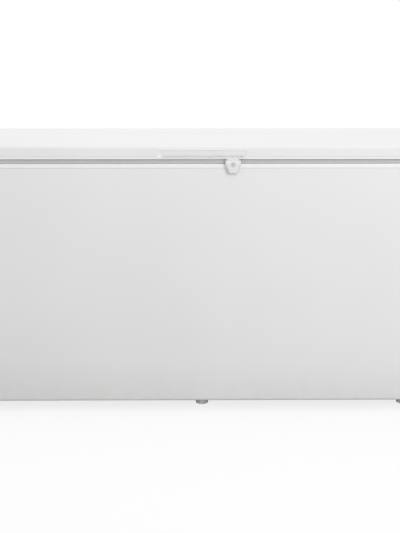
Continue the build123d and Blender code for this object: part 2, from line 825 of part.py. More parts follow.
# Stoppers: one on the tank's floor, one on the outlet
stopper_radius = drain_bore - stopper_clearance
with BuildPart() as drain_plug:
    with BuildSketch(Plane.XY.offset(floor_z + drain_flange)):
        with Locations((drain_x, cavity_mid)):
            Circle(drain_flange_radius - drain_flange)
    extrude(amount=stopper_disc)
    with BuildSketch(Plane.XY.offset(floor_z + drain_flange + stopper_disc)):
        with Locations((drain_x, cavity_mid)):
            Rectangle(2 * stopper_tab, stopper_disc)
    extrude(amount=stopper_tab)
    chamfer(drain_plug.edges().filter_by(Axis.Y).group_by(Axis.Z)[-1], length=stopper_disc)
    with BuildSketch(Plane.XY.offset(floor_z + drain_flange - stopper_length)):
        with Locations((drain_x, cavity_mid)):
            RegularPolygon(stopper_radius, drain_sides)
    extrude(amount=stopper_length)
save(drain_plug, "drain_plug")

with BuildPart() as drain_cap:
    with BuildSketch(Plane.YZ.offset(spout_x)):
        with Locations((cavity_mid, drain_z)):
            Circle(drain_flange_radius - drain_flange)
    extrude(amount=-stopper_disc)
    with BuildSketch(Plane.YZ.offset(spout_x)):
        with Locations((cavity_mid, drain_z)):
            RegularPolygon(stopper_radius, drain_sides)
    extrude(amount=stopper_length)
save(drain_cap, "drain_cap")

# Six feet under the bottom panel and the tray
foot_columns = (foot_left_inset - cabinet_half, 0.0, cabinet_half - foot_right_inset)
foot_rows = (cabinet_front + foot_front_inset, cabinet_rear - foot_rear_inset)
foot_places = [(foot_x, foot_y) for foot_y in foot_rows for foot_x in foot_columns]
with BuildPart() as feet:
    with BuildSketch():
        with Locations(*foot_places):
            Circle(foot_radius)
    extrude(amount=panel_z)
save(feet, "feet")

# Lid pan: drawn steel sheet with a rounded top edge and the handle's cut-out
handle_bottom = lid_bottom + handle_rise
handle_top = handle_bottom + handle_height
handle_mid = (handle_bottom + handle_top) / 2
lid_top_start = overall_height - lid_top_radius
with BuildPart() as lid_skin:
    with BuildSketch(Plane.XY.offset(pan_bottom)):
        lid_outline(0, lid_corner_radius)
    extrude(amount=overall_height - pan_bottom)
    fillet(lid_skin.edges().group_by(Axis.Z)[-1], radius=lid_top_radius)
    with BuildSketch(Plane.XY.offset(pan_bottom)):
        lid_outline(sheet, lid_corner_radius - sheet)
    extrude(amount=lid_top_start - pan_bottom, mode=Mode.SUBTRACT)
    with BuildSketch(Plane.XY.offset(lid_top_start)):
        lid_outline(sheet, lid_corner_radius - sheet)
    extrude(amount=lid_top_radius - sheet, taper=pan_taper, mode=Mode.SUBTRACT)
    with BuildSketch(Plane.XZ.offset(-lid_front - sheet)):
        span(-handle_width / 2, handle_width / 2, pan_bottom, handle_top)
    extrude(amount=sheet, mode=Mode.SUBTRACT)
save(lid_skin, "lid_skin")

# Lid liner: edge under the pan, seal groove, and the plug that enters the mouth
plug_half = cabinet_half - land_width - plug_gap
plug_long = cabinet_depth - 2 * (land_width + plug_gap)
dart_mid = gasket_setback + gasket_width - dart_width
lid_under = Plane((0, cabinet_mid, lid_bottom), x_dir=(1, 0, 0), z_dir=(0, 0, -1))
lid_over = Plane((0, cabinet_mid, pan_bottom), x_dir=(1, 0, 0), z_dir=(0, 0, -1))
with BuildPart() as lid_liner:
    with BuildSketch(Plane.XY.offset(lid_bottom)):
        lid_outline(lid_edge_inset, lid_corner_radius)
    extrude(amount=lid_edge_height)
    with BuildSketch(lid_under):
        RectangleRounded(2 * plug_half, plug_long, lid_corner_radius)
    extrude(amount=plug_depth, taper=plug_taper)
    with BuildSketch(lid_over):
        Rectangle(2 * (plug_half - plug_void_inset), plug_long - 2 * plug_void_inset)
    extrude(amount=lid_edge_height + plug_depth - lid_liner_wall, mode=Mode.SUBTRACT)
    with BuildSketch(Plane.XY.offset(lid_bottom)):
        lid_outline(dart_mid - dart_width / 2 - dart_clearance)
        lid_outline(dart_mid + dart_width / 2 + dart_clearance, mode=Mode.SUBTRACT)
    extrude(amount=dart_height + dart_clearance, mode=Mode.SUBTRACT)
    with BuildSketch(Plane.XZ.offset(-lid_front - handle_depth)):
        span(-handle_width / 2, handle_width / 2, handle_bottom, pan_bottom)
    extrude(amount=handle_depth, mode=Mode.SUBTRACT)
save(lid_liner, "lid_liner")

# Lid foam fills the pan and the plug
with BuildPart() as lid_foam:
    with BuildSketch(Plane.XY.offset(pan_bottom)):
        lid_outline(sheet, lid_corner_radius + foam_clearance)
    extrude(amount=lid_top_start - pan_bottom)
    with BuildSketch(Plane.XY.offset(lid_top_start)):
        lid_outline(sheet, lid_corner_radius + foam_clearance)
    extrude(amount=lid_top_radius - sheet, taper=pan_taper)
    with BuildSketch(lid_over):
        Rectangle(2 * (plug_half - plug_void_inset), plug_long - 2 * plug_void_inset)
    extrude(amount=lid_edge_height + plug_depth - lid_liner_wall)
    with BuildSketch(Plane.XZ.offset(-lid_front - handle_depth)):
        span(-handle_width / 2, handle_width / 2, pan_bottom, handle_top)
    extrude(amount=handle_depth, mode=Mode.SUBTRACT)
save(lid_foam, "lid_foam")

# Lid seal: base with its dart, narrow bellows and the magnet strip
gasket_bottom = frame_top + gasket_gap
gasket_layers = (
    (gasket_setback, gasket_width, lid_bottom - gasket_base, gasket_base),
    (
        gasket_setback + gasket_waist,
        gasket_width - 2 * gasket_waist,
        gasket_bottom + magnet_height,
        lid_bottom - gasket_base - gasket_bottom - magnet_height,
    ),
    (gasket_setback, gasket_width, gasket_bottom, magnet_height),
    (dart_mid - dart_width / 2, dart_width, lid_bottom, dart_height),
)
with BuildPart() as lid_gasket:
    for setback, width, bottom, height in gasket_layers:
        with BuildSketch(Plane.XY.offset(bottom)):
            lid_outline(setback)
            lid_outline(setback + width, mode=Mode.SUBTRACT)
        extrude(amount=height)
save(lid_gasket, "lid_gasket")

# Recessed handle: flanged scoop with a hooked upper lip for the fingers
scoop_width = handle_width - 2 * handle_wall
scoop_height = handle_height - 2 * handle_wall
with BuildPart() as lid_handle:
    with BuildSketch(Plane.XZ.offset(-lid_front - handle_depth)):
        span(-handle_width / 2, handle_width / 2, handle_bottom, handle_top)
    extrude(amount=handle_depth)
    with BuildSketch(Plane.XZ.offset(-lid_front)):
        with Locations((0, handle_mid + handle_flange / 2)):
            RectangleRounded(
                handle_width + 2 * handle_flange, handle_height + handle_flange, handle_flange
            )
    extrude(amount=handle_flange_thickness)
    scoop_face = (0, lid_front - handle_flange_thickness, handle_mid)
    scoop_front = Plane(scoop_face, x_dir=(1, 0, 0), z_dir=(0, 1, 0))
    with BuildSketch(scoop_front):
        RectangleRounded(scoop_width, scoop_height, scoop_height / 3)
    extrude(amount=handle_depth - handle_wall, taper=handle_taper, mode=Mode.SUBTRACT)
    with BuildSketch(Plane.YZ.offset(-scoop_width / 2 + scoop_height)):
        span(
            lid_front + handle_wall,
            lid_front + handle_depth - 2 * handle_wall,
            handle_mid,
            handle_top - handle_wall,
        )
    extrude(amount=scoop_width - 2 * scoop_height, mode=Mode.SUBTRACT)
save(lid_handle, "lid_handle")

# Lock shield: tapered shell, open at the back, hung on a neck under the lid's edge
shield_top = lid_bottom - shield_drop
shield_bottom = shield_top - shield_height
shield_front = lid_front - shield_projection
shield_back = cabinet_front - frame_proud - running_gap
barrel_z = lid_bottom - barrel_drop
keeper_under = barrel_z + cam_width / 2 + keeper_gap
keeper_left = lock_x - keeper_offset - keeper_width


def shield_outline(inset, radius=0.0):
    """The shield's front outline, moved in by an inset, in the sketch that is open."""
    half_top = shield_width / 2 - inset
    half_tip = shield_tip_width / 2 - inset
    corners = [
        (lock_x - half_top, shield_top - inset),
        (lock_x - half_top, barrel_z),
        (lock_x - half_tip, shield_bottom + inset),
        (lock_x + half_tip, shield_bottom + inset),
        (lock_x + half_top, barrel_z),
        (lock_x + half_top, shield_top - inset),
    ]
    with BuildLine() as outline:
        if radius > 0:
            FilletPolyline(*corners, radius=radius, close=True)
        else:
            Polyline(*corners, close=True)
    make_face(outline.edges())


with BuildPart() as lock_shield:
    with BuildSketch(Plane.XZ.offset(-shield_back)):
        shield_outline(0, shield_corner_radius)
    extrude(amount=shield_back - shield_front)
    chamfer(lock_shield.faces().sort_by(Axis.Y)[0].edges(), length=shield_edge)
    with BuildSketch(Plane.XZ.offset(-shield_back)):
        shield_outline(shield_wall)
    extrude(amount=shield_back - shield_front - shield_wall, mode=Mode.SUBTRACT)
    with BuildSketch(Plane.XZ.offset(-shield_back)):
        span(
            keeper_left - 2 * running_gap,
            keeper_left + keeper_width + 2 * running_gap,
            shield_bottom,
            keeper_under,
        )
    extrude(amount=shield_back - shield_front - shield_wall - shield_edge, mode=Mode.SUBTRACT)
    with BuildSketch(Plane.XZ.offset(-shield_front - shield_wall)):
        with Locations((lock_x, barrel_z)):
            Circle(barrel_radius + shield_wall)
    extrude(amount=-barrel_length + shield_wall + running_gap + barrel_proud)
    with BuildSketch(Plane.XZ.offset(-shield_front)):
        with Locations((lock_x, barrel_z)):
            Circle(barrel_radius + barrel_clearance)
    extrude(amount=-barrel_length, mode=Mode.SUBTRACT)
    with BuildSketch(Plane.XY.offset(shield_top)):
        span(
            lock_x - shield_width / 2 + shield_corner_radius,
            lock_x + shield_width / 2 - shield_corner_radius,
            lid_front + lid_edge_inset,
            lid_front + gasket_setback - lid_edge_inset,
        )
    extrude(amount=shield_drop)
    with BuildSketch(Plane.XY.offset(shield_top - shield_wall)):
        span(
            lock_x - shield_width / 2 + shield_corner_radius,
            lock_x + shield_width / 2 - shield_corner_radius,
            lid_front + lid_edge_inset,
            shield_back,
        )
    extrude(amount=shield_wall)
save(lock_shield, "lock_shield")

# Lock barrel with its key slot, and the cam on its end
barrel_face = shield_front - barrel_proud
barrel_back = barrel_face + barrel_length
with BuildPart() as lock_barrel:
    with BuildSketch(Plane.XZ.offset(-barrel_back)):
        with Locations((lock_x, barrel_z)):
            Circle(barrel_radius)
    extrude(amount=barrel_length)
    chamfer(lock_barrel.edges().group_by(Axis.Y)[0], length=barrel_proud / 3)
    with BuildSketch(Plane.XZ.offset(-barrel_face)):
        with Locations((lock_x, barrel_z)):
            Rectangle(barrel_proud, barrel_radius)
    extrude(amount=-barrel_length / 2, mode=Mode.SUBTRACT)
save(lock_barrel, "lock_barrel")

with BuildPart() as lock_cam:
    with BuildSketch(Plane.XZ.offset(-barrel_back)):
        with Locations((lock_x, barrel_z - cam_reach / 2 + cam_width / 4)):
            SlotOverall(cam_reach + cam_width / 2, cam_width, rotation=90)
    extrude(amount=-cam_thickness)
save(lock_cam, "lock_cam")

# Keeper on the frame: the cam turns in under its ledge
with BuildPart() as lock_keeper:
    with BuildSketch(Plane.YZ.offset(keeper_left)):
        frame_face = cabinet_front - frame_proud
        span(frame_face - keeper_sheet, frame_face, wrapper_top + frame_seam, keeper_under)
        span(
            barrel_back - running_gap,
            frame_face,
            keeper_under,
            keeper_under + keeper_sheet,
        )
    extrude(amount=keeper_width)
save(lock_keeper, "lock_keeper")

# Two sprung hinges
leaf_bottom = pan_bottom + leaf_plate
bracket_top = wrapper_top - frame_seam
bracket_mid = cabinet_rear + bracket_plate + bracket_plate / 2
ear_inner = lug_span / 2 + side_play
for side_name, side in (("left", -1), ("right", 1)):
    hinge_x = side * hinge_half
    with BuildPart() as hinge_bracket:
        with BuildSketch(Plane.XZ.offset(-cabinet_rear)):
            with Locations((hinge_x, bracket_top - bracket_height / 2)):
                Rectangle(bracket_width, bracket_height)
        extrude(amount=-bracket_plate)
        for ear_x in (hinge_x - ear_inner - ear_thickness, hinge_x + ear_inner):
            with BuildSketch(Plane.YZ.offset(ear_x)):
                with Locations((pivot_y, pivot_z)):
                    RegularPolygon(ear_radius, hinge_sides)
                with Locations((bracket_mid, bracket_top - bracket_height / 2)):
                    Rectangle(bracket_plate, bracket_height - 2 * knuckle_radius)
                make_hull()
                with Locations((pivot_y, pivot_z)):
                    Circle(pin_radius + pin_clearance, mode=Mode.SUBTRACT)
            extrude(amount=ear_thickness)
    save(hinge_bracket, f"hinge_bracket_{side_name}")

    with BuildPart() as hinge_leaf:
        with BuildSketch(Plane.XZ.offset(-lid_rear)):
            with Locations((hinge_x, leaf_bottom + leaf_height / 2)):
                Rectangle(leaf_width, leaf_height)
        extrude(amount=-leaf_plate)
        for lug_x in (hinge_x - lug_span / 2, hinge_x + lug_span / 2 - lug_thickness):
            with BuildSketch(Plane.YZ.offset(lug_x)):
                with Locations((pivot_y, pivot_z)):
                    RegularPolygon(knuckle_radius, hinge_sides)
                with Locations((lid_rear + leaf_plate / 2, leaf_bottom + leaf_height / 2)):
                    Rectangle(leaf_plate, leaf_height - 2 * leaf_plate)
                make_hull()
                with Locations((pivot_y, pivot_z)):
                    Circle(pin_radius + pin_clearance, mode=Mode.SUBTRACT)
            extrude(amount=lug_thickness)
    save(hinge_leaf, f"hinge_leaf_{side_name}")

    pin_half = ear_inner + ear_thickness
    with BuildPart() as hinge_pin:
        with BuildSketch(Plane.YZ.offset(hinge_x - pin_half)):
            with Locations((pivot_y, pivot_z)):
                Circle(pin_radius)
        extrude(amount=2 * pin_half)
        for head_x in (hinge_x - pin_half - pin_head_length, hinge_x + pin_half):
            with BuildSketch(Plane.YZ.offset(head_x)):
                with Locations((pivot_y, pivot_z)):
                    RegularPolygon(pin_head_radius, tube_sides)
            extrude(amount=pin_head_length)
    save(hinge_pin, f"hinge_pin_{side_name}")

    spring_half = lug_span / 2 - lug_thickness - side_play
    with BuildPart() as hinge_spring:
        with BuildSketch(Plane.YZ.offset(hinge_x - spring_half)):
            with Locations((pivot_y, pivot_z)):
                RegularPolygon(spring_radius, hinge_sides)
                RegularPolygon(
                    spring_radius - spring_wall, hinge_sides, major_radius=False, mode=Mode.SUBTRACT
                )
        extrude(amount=2 * spring_half)
    save(hinge_spring, f"hinge_spring_{side_name}")

# Hanging wire baskets: rim bars rest on the frame's ledges, wires are welded below them
rim_low = ledge_z + stopper_clearance
rim_high = rim_low + basket_rim
basket_floor = rim_high - basket_height
basket_front = cabinet_front + lip_inner + basket_end_gap
basket_rear = cabinet_rear - lip_inner - basket_end_gap
basket_half = basket_width / 2
end_pitch = basket_width / (basket_end_wires + 1)
side_pitch = (basket_rear - basket_front) / (basket_side_wires + 1)
side_places = [basket_front + side_pitch * (turn + 1) for turn in range(basket_side_wires)]
wall_rows = [basket_floor + basket_height / 2]
rim_front = cavity_front - basket_reach
rim_rear = cavity_rear + basket_reach
basket_left_x = basket_left_gap + basket_half - cavity_half
basket_right_x = cavity_half - basket_half - basket_right_gap
for side_name, basket_x in (("left", basket_left_x), ("right", basket_right_x)):
    end_places = [
        basket_x - basket_half + end_pitch * (turn + 1) for turn in range(basket_end_wires)
    ]
    with BuildPart() as basket:
        with BuildSketch(Plane.XY.offset(rim_low)):
            for bar_x in (basket_x - basket_half, basket_x + basket_half):
                span(bar_x - basket_rim / 2, bar_x + basket_rim / 2, rim_front, rim_rear)
            for bar_y in (basket_front, basket_rear):
                span(
                    basket_x - basket_half,
                    basket_x + basket_half,
                    bar_y - basket_rim / 2,
                    bar_y + basket_rim / 2,
                )
        extrude(amount=basket_rim)
        with BuildSketch(Plane.XY.offset(basket_floor)):
            for wire_y in side_places:
                with Locations((basket_x - basket_half, wire_y), (basket_x + basket_half, wire_y)):
                    Rectangle(basket_wire, basket_wire)
            for wire_x in end_places:
                with Locations((wire_x, basket_front), (wire_x, basket_rear)):
                    Rectangle(basket_wire, basket_wire)
        extrude(amount=rim_low - basket_floor)
        with BuildSketch(Plane.YZ.offset(basket_x - basket_half)):
            for wire_y in side_places:
                with Locations((wire_y, basket_floor)):
                    Rectangle(basket_wire, basket_wire)
            for row_z in wall_rows:
                with Locations((basket_front - basket_weld, row_z), (basket_rear + basket_weld, row_z)):
                    Rectangle(basket_wire, basket_wire)
        extrude(amount=basket_width)
        with BuildSketch(Plane.XZ.offset(-basket_rear)):
            for wire_x in end_places:
                with Locations((wire_x, basket_floor + basket_weld)):
                    Rectangle(basket_wire, basket_wire)
            for row_z in wall_rows:
                with Locations(
                    (basket_x - basket_half - basket_weld, row_z), (basket_x + basket_half + basket_weld, row_z)
                ):
                    Rectangle(basket_wire, basket_wire)
        extrude(amount=basket_rear - basket_front)
    save(basket, f"basket_{side_name}")
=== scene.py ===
# %% [markdown]
# # A wide chest freezer
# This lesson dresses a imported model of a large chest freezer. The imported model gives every
# place and size, and it moves: the lid swings on two hinges, the lock turns, the baskets slide.
# Blender adds what the eye looks for: drawn steel with soft edges, moulded plastic, a folded
# seal, round wires, coil springs and screws. Everything is in metres, in the model's own frame.

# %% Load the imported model
import json
import math

import bmesh
import bpy
from mathutils import Matrix, Vector


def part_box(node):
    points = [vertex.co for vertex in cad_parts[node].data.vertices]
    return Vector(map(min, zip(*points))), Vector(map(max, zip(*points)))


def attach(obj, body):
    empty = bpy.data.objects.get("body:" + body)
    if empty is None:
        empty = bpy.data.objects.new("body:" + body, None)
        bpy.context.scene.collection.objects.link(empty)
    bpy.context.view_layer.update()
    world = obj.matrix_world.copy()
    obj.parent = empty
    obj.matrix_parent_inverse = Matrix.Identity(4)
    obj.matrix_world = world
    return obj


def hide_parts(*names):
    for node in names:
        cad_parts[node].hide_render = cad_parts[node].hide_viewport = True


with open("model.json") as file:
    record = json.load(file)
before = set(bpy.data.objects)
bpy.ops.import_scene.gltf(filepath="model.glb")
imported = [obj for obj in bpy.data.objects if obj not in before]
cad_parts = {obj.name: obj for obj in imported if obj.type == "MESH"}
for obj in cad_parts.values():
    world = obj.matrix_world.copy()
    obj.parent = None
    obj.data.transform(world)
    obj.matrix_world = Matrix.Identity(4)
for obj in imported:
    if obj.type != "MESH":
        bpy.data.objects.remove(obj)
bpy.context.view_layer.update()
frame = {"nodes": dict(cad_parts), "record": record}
nodes = frame["nodes"]
scene = bpy.context.scene
MM = 0.001

# %% [markdown]
# ## The camera and the light
# The picture is a front view from a little above the lid, taken from about 3.3 m. The camera is
# turned half a degree to the right, so the left end comes out a trace larger. The lamps are soft
# and large, and the two key lamps stand at the right, because a white sheet shows its shape only
# through slow changes of brightness. One strong lamp would clip the lid's top to plain white.

# %% Camera
lid_low, lid_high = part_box("lid_skin")
CAMERA_DISTANCE = 3.283
CAMERA_HEIGHT = 1.167
CAMERA_X = -0.036
CAMERA_PITCH = 11.92
CAMERA_YAW = 0.5
FOCAL_PIXELS = 1072.2
IMAGE_HEIGHT = 533.0

camera_data = bpy.data.cameras.new("studio_camera")
camera_data.sensor_fit = "VERTICAL"
camera_data.sensor_height = 24.0
camera_data.lens = FOCAL_PIXELS * camera_data.sensor_height / IMAGE_HEIGHT
camera = bpy.data.objects.new("studio_camera", camera_data)
scene.collection.objects.link(camera)
camera.location = (CAMERA_X, lid_low.y - CAMERA_DISTANCE, CAMERA_HEIGHT)
camera.rotation_euler = (math.radians(90.0 - CAMERA_PITCH), 0.0, math.radians(-CAMERA_YAW))
scene.camera = camera
scene.view_settings.view_transform = "Standard"
print("lens", round(camera_data.lens, 2), "mm")


# %% Lamps
def soft_lamp(name, place, target, size, power, spread=180.0):
    """A square area lamp that looks at a point. Gloss shows the white room and not the lamp."""
    lamp = bpy.data.lights.new(name, "AREA")
    lamp.size = size
    lamp.energy = power
    lamp.spread = math.radians(spread)
    holder = bpy.data.objects.new(name, lamp)
    scene.collection.objects.link(holder)
    holder.location = place
    sight = Vector(target) - Vector(place)
    holder.rotation_euler = sight.to_track_quat("-Z", "Y").to_euler()
    holder.visible_glossy = False


soft_lamp("key_low", (1.7, -3.7, 1.55), (0.35, -0.3, 1.0), 1.8, 13.2, spread=115.0)
soft_lamp("key_high", (1.9, -3.2, 2.3), (0.3, -0.3, 0.9), 1.8, 11.9, spread=120.0)
soft_lamp("fill_left", (-3.2, -2.6, 1.6), (-0.2, 0.0, 0.6), 2.4, 10.6)
soft_lamp("top_wash", (0.3, 0.4, 3.4), (0.0, 0.0, 0.85), 2.6, 19.0)
soft_lamp("rear_fill", (-1.0, 3.4, 2.2), (0.0, 0.3, 0.5), 2.4, 24.0)


# %% [markdown]
# ## Floor and surroundings
# The background is plain white. The world is white to the camera and to mirrors, and a softer
# grey to everything else, so that it doesn't wash out the form. The floor is a wide disc that
# fades into the world at its rim. To the camera most of it is plain white, and the rest is matt
# paint that takes the shadow near the feet. A curved backdrop would work too, but it would show
# its bend in the other views.


# %% Node helpers
def feed(tree, socket, value):
    """Links a socket to another one, or sets it to a number or a colour."""
    if isinstance(value, bpy.types.NodeSocket):
        tree.links.new(value, socket)
    elif socket.type == "RGBA":
        socket.default_value = (*value, 1.0)
    else:
        socket.default_value = value


def feed_all(tree, node, **sockets):
    """Feeds a node's sockets by name; underscores stand for spaces."""
    for label, value in sockets.items():
        feed(tree, node.inputs[label.replace("_", " ")], value)


def add(tree, kind, mode=None, **sockets):
    """A new node with its sockets fed."""
    node = tree.nodes.new(kind)
    if mode:
        node.mode = mode
    feed_all(tree, node, **sockets)
    return node


def reckon(tree, operation, first, second):
    """A sum on two values."""
    node = tree.nodes.new("ShaderNodeMath")
    node.operation = operation
    feed(tree, node.inputs[0], first)
    feed(tree, node.inputs[1], second)
    return node.outputs[0]


def mix_shaders(tree, factor, first, second):
    """One shader from two."""
    node = tree.nodes.new("ShaderNodeMixShader")
    for socket, value in zip(node.inputs, (factor, first, second)):
        feed(tree, socket, value)
    return node.outputs[0]


MIX_FIRST, MIX_SECOND, MIX_RESULT = 6, 7, 2


def mix_colours(tree, factor, first, second):
    """One colour from two; a Mix node has sockets of its own for colours."""
    node = tree.nodes.new("ShaderNodeMix")
    node.data_type = "RGBA"
    feed(tree, node.inputs["Factor"], factor)
    feed(tree, node.inputs[MIX_FIRST], first)
    feed(tree, node.inputs[MIX_SECOND], second)
    return node.outputs[MIX_RESULT]


def grey(level):
    """A colour without a tint."""
    return (level, level, level)


# %% World
AMBIENT = 0.675
world = bpy.data.worlds.new("white_room")
scene.world = world
world.use_nodes = True
sky = world.node_tree
sky.nodes.clear()
sky_dim = add(sky, "ShaderNodeBackground", Color=grey(1.0), Strength=AMBIENT)
sky_white = add(sky, "ShaderNodeBackground", Color=grey(1.0), Strength=1.0)
sky_path = sky.nodes.new("ShaderNodeLightPath")
seen = sky_path.outputs["Is Camera Ray"]
for ray in ("Is Glossy Ray", "Is Transmission Ray"):
    seen = reckon(sky, "MAXIMUM", seen, sky_path.outputs[ray])
room = mix_shaders(sky, seen, sky_dim.outputs[0], sky_white.outputs[0])
add(sky, "ShaderNodeOutputWorld", Surface=room)
print("ambient", AMBIENT)

# %% Floor
FLOOR_RADIUS = 6.0
FADE_START = 1.3
FADE_END = 3.2
WHITE_SHARE = 0.8
SEEN_GREY = grey(0.95)
BOUNCE_GREY = grey(0.5)
floor_mesh = bpy.data.meshes.new("studio_floor")
floor_bm = bmesh.new()
bmesh.ops.create_circle(floor_bm, cap_ends=True, segments=96, radius=FLOOR_RADIUS)
floor_bm.to_mesh(floor_mesh)
floor_bm.free()
floor = bpy.data.objects.new("studio_floor", floor_mesh)
scene.collection.objects.link(floor)
floor_paint = bpy.data.materials.new("floor_paint")
floor_paint.use_nodes = True
paint = floor_paint.node_tree
camera_ray = paint.nodes.new("ShaderNodeLightPath").outputs["Is Camera Ray"]
tone = mix_colours(paint, camera_ray, BOUNCE_GREY, SEEN_GREY)
matt = paint.nodes["Principled BSDF"]
feed_all(paint, matt, Base_Color=tone, Roughness=0.9, Specular_IOR_Level=0.1)
plain_white = paint.nodes.new("ShaderNodeEmission")
white_share = reckon(paint, "MULTIPLY", camera_ray, WHITE_SHARE)
ground = mix_shaders(paint, white_share, matt.outputs[0], plain_white.outputs[0])
spot = paint.nodes.new("ShaderNodeTexCoord").outputs["Object"]
distance = add(paint, "ShaderNodeVectorMath", Vector=spot)
distance.operation = "LENGTH"
fade = add(paint, "ShaderNodeMapRange", Value=distance.outputs["Value"])
feed_all(paint, fade, From_Min=FADE_START, From_Max=FADE_END)
fade.interpolation_type = "SMOOTHSTEP"
clear = paint.nodes.new("ShaderNodeBsdfTransparent")
faded = mix_shaders(paint, fade.outputs["Result"], ground, clear.outputs[0])
feed_all(paint, paint.nodes["Material Output"], Surface=faded)
floor_mesh.materials.append(floor_paint)
print("floor radius", FLOOR_RADIUS)

# %% [markdown]
# ## Finishes
# Every finish is one Principled shader with its colour, roughness and bump driven by noise in
# object space, so a pattern has a real size and stays put when the lid swings. Image textures
# would look the same on every freezer and need files; noise gives the slow waviness of sheet
# steel, the fine peel of sprayed enamel and the grain of a mould for nothing.

# %% Finish helpers
finishes = {}


class Finish:
    """A Principled material with helpers for noise, bump and slow changes of colour."""

    def __init__(self, name, roughness, metallic=0.0, specular=0.5):
        self.material = bpy.data.materials.new(name)
        self.material.use_nodes = True
        self.tree = self.material.node_tree
        self.shader = self.tree.nodes["Principled BSDF"]
        self.where = self.tree.nodes.new("ShaderNodeTexCoord").outputs["Object"]
        self.normal = None
        self.dress(Roughness=roughness, Metallic=metallic, Specular_IOR_Level=specular)
        finishes[name] = self.material

    def dress(self, **sockets):
        """Feeds the shader's own sockets."""
        feed_all(self.tree, self.shader, **sockets)

    def stretch(self, scale):
        """Object coordinates scaled along each axis, for brushed or drawn marks."""
        return add(self.tree, "ShaderNodeMapping", Vector=self.where, Scale=scale).outputs["Vector"]

    def noise(self, scale, detail=3.0, roughness=0.55, where=None):
        """A noise value; scale is in waves a metre."""
        node = add(self.tree, "ShaderNodeTexNoise", Vector=where or self.where, Scale=scale)
        feed_all(self.tree, node, Detail=detail, Roughness=roughness)
        return node.outputs["Fac"]

    def cells(self, scale, feature="F1", output="Distance"):
        """A cell pattern; scale is in cells a metre."""
        node = add(self.tree, "ShaderNodeTexVoronoi", Vector=self.where, Scale=scale)
        node.feature = feature
        return node.outputs[output]

    def height(self, low, high, axis="Z"):
        """0 to 1 between two places along an axis."""
        split = add(self.tree, "ShaderNodeSeparateXYZ", Vector=self.where)
        return self.spread(split.outputs[axis], low, high, 0.0, 1.0)

    def spread(self, value, low, high, out_low, out_high):
        """A value's range mapped to another range."""
        node = add(self.tree, "ShaderNodeMapRange", Value=value, From_Min=low, From_Max=high)
        feed_all(self.tree, node, To_Min=out_low, To_Max=out_high)
        return node.outputs["Result"]

    def tint(self, value, *stops):
        """A colour from a value, by stops of place and colour."""
        node = add(self.tree, "ShaderNodeValToRGB", Fac=value)
        elements = node.color_ramp.elements
        while len(elements) < len(stops):
            elements.new(0.5)
        for element, (place, colour) in zip(elements, stops):
            element.position = place
            element.color = (*colour, 1.0)
        return node.outputs["Color"]

    def colour(self, value):
        """The colour all over, from a socket."""
        self.dress(Base_Color=value)

    def clouds(self, scale, detail, dark, light, end=0.7):
        """A cloudy colour between two tones."""
        self.colour(self.tint(self.noise(scale, detail), (0.3, dark), (end, light)))

    def rough(self, value, low, high):
        """An uneven roughness between two levels."""
        self.dress(Roughness=self.spread(value, 0.3, 0.7, low, high))

    def bump(self, value, depth, strength=1.0):
        """Adds one layer of relief; depth is in metres."""
        node = add(self.tree, "ShaderNodeBump", Height=value, Distance=depth, Strength=strength)
        if self.normal is not None:
            feed_all(self.tree, node, Normal=self.normal)
        self.normal = node.outputs["Normal"]
        self.dress(Normal=self.normal)


# %% [markdown]
# ### White enamel and white plastic
# The lid's pan and the cabinet are sprayed steel: glossy, with a fine peel of a few millimetres and a slow
# waviness from rolling. A little dust sits low on the cabinet. The moulded plastic is softer, with a finer
# grain. The handle and the lock shield are the same white plastic painted a little darker, as painted shade.
# All are neutral whites of about 0.75 to 0.9; pure white would leave no room for highlights.

# %% Whites
enamel = Finish("white_enamel", 0.32)
clean = enamel.tint(enamel.noise(2.2, 2.0), (0.3, grey(0.785)), (0.7, grey(0.815)))
low_down = enamel.spread(enamel.height(0.03, 0.16), 0.0, 1.0, 0.5, 0.0)
dust = reckon(enamel.tree, "MULTIPLY", low_down, enamel.noise(26.0, 6.0))
enamel.colour(mix_colours(enamel.tree, dust, clean, (0.62, 0.61, 0.59)))
enamel.rough(enamel.noise(9.0, 5.0), 0.34, 0.42)
enamel.bump(enamel.noise(3.1, 1.0), 0.0016, 0.30)
enamel.bump(enamel.noise(260.0, 2.0), 0.00005, 0.25)
enamel.dress(Coat_Weight=0.15, Coat_Roughness=0.12)

plastic = Finish("white_plastic", 0.42)
plastic.clouds(6.0, 4.0, grey(0.85), grey(0.88))
plastic.rough(plastic.noise(40.0, 4.0), 0.37, 0.47)
plastic.bump(plastic.noise(1500.0, 2.0), 0.00004, 0.5)
plastic.bump(plastic.noise(12.0, 1.0), 0.0006, 0.2)

# The handle's scoop takes a darker copy of the white plastic: painted shade that deepens its recess.
grip_painted_shade = Finish("grip_plastic", 0.42)
grip_painted_shade.clouds(6.0, 4.0, grey(0.82), grey(0.84))
grip_painted_shade.rough(grip_painted_shade.noise(40.0, 4.0), 0.37, 0.47)
grip_painted_shade.bump(grip_painted_shade.noise(1500.0, 2.0), 0.00004, 0.5)

# The lock shield takes a darker copy of the white plastic: painted shade for the darker tone of its face.
shield_painted_shade = Finish("lock_plastic", 0.5)
shield_painted_shade.clouds(30.0, 4.0, grey(0.75), grey(0.78))
shield_painted_shade.rough(shield_painted_shade.noise(80.0, 4.0), 0.44, 0.56)
shield_painted_shade.bump(shield_painted_shade.noise(1500.0, 2.0), 0.00004, 0.5)

coating = Finish("coated_wire", 0.36)
coating.clouds(60.0, 4.0, grey(0.76), grey(0.82), 0.72)
coating.rough(coating.noise(120.0, 3.0), 0.30, 0.46)
coating.bump(coating.noise(420.0, 2.0), 0.00008, 0.5)
print("whites", len(finishes))

# %% [markdown]
# ### Seal, feet and grille
# The seal is soft grey vinyl with fine drawn lines along it. The feet are grey nylon with scuffs, painted
# pale as painted light, so that they still look grey in the shade under the cabinet. The grille is grained
# light grey plastic.

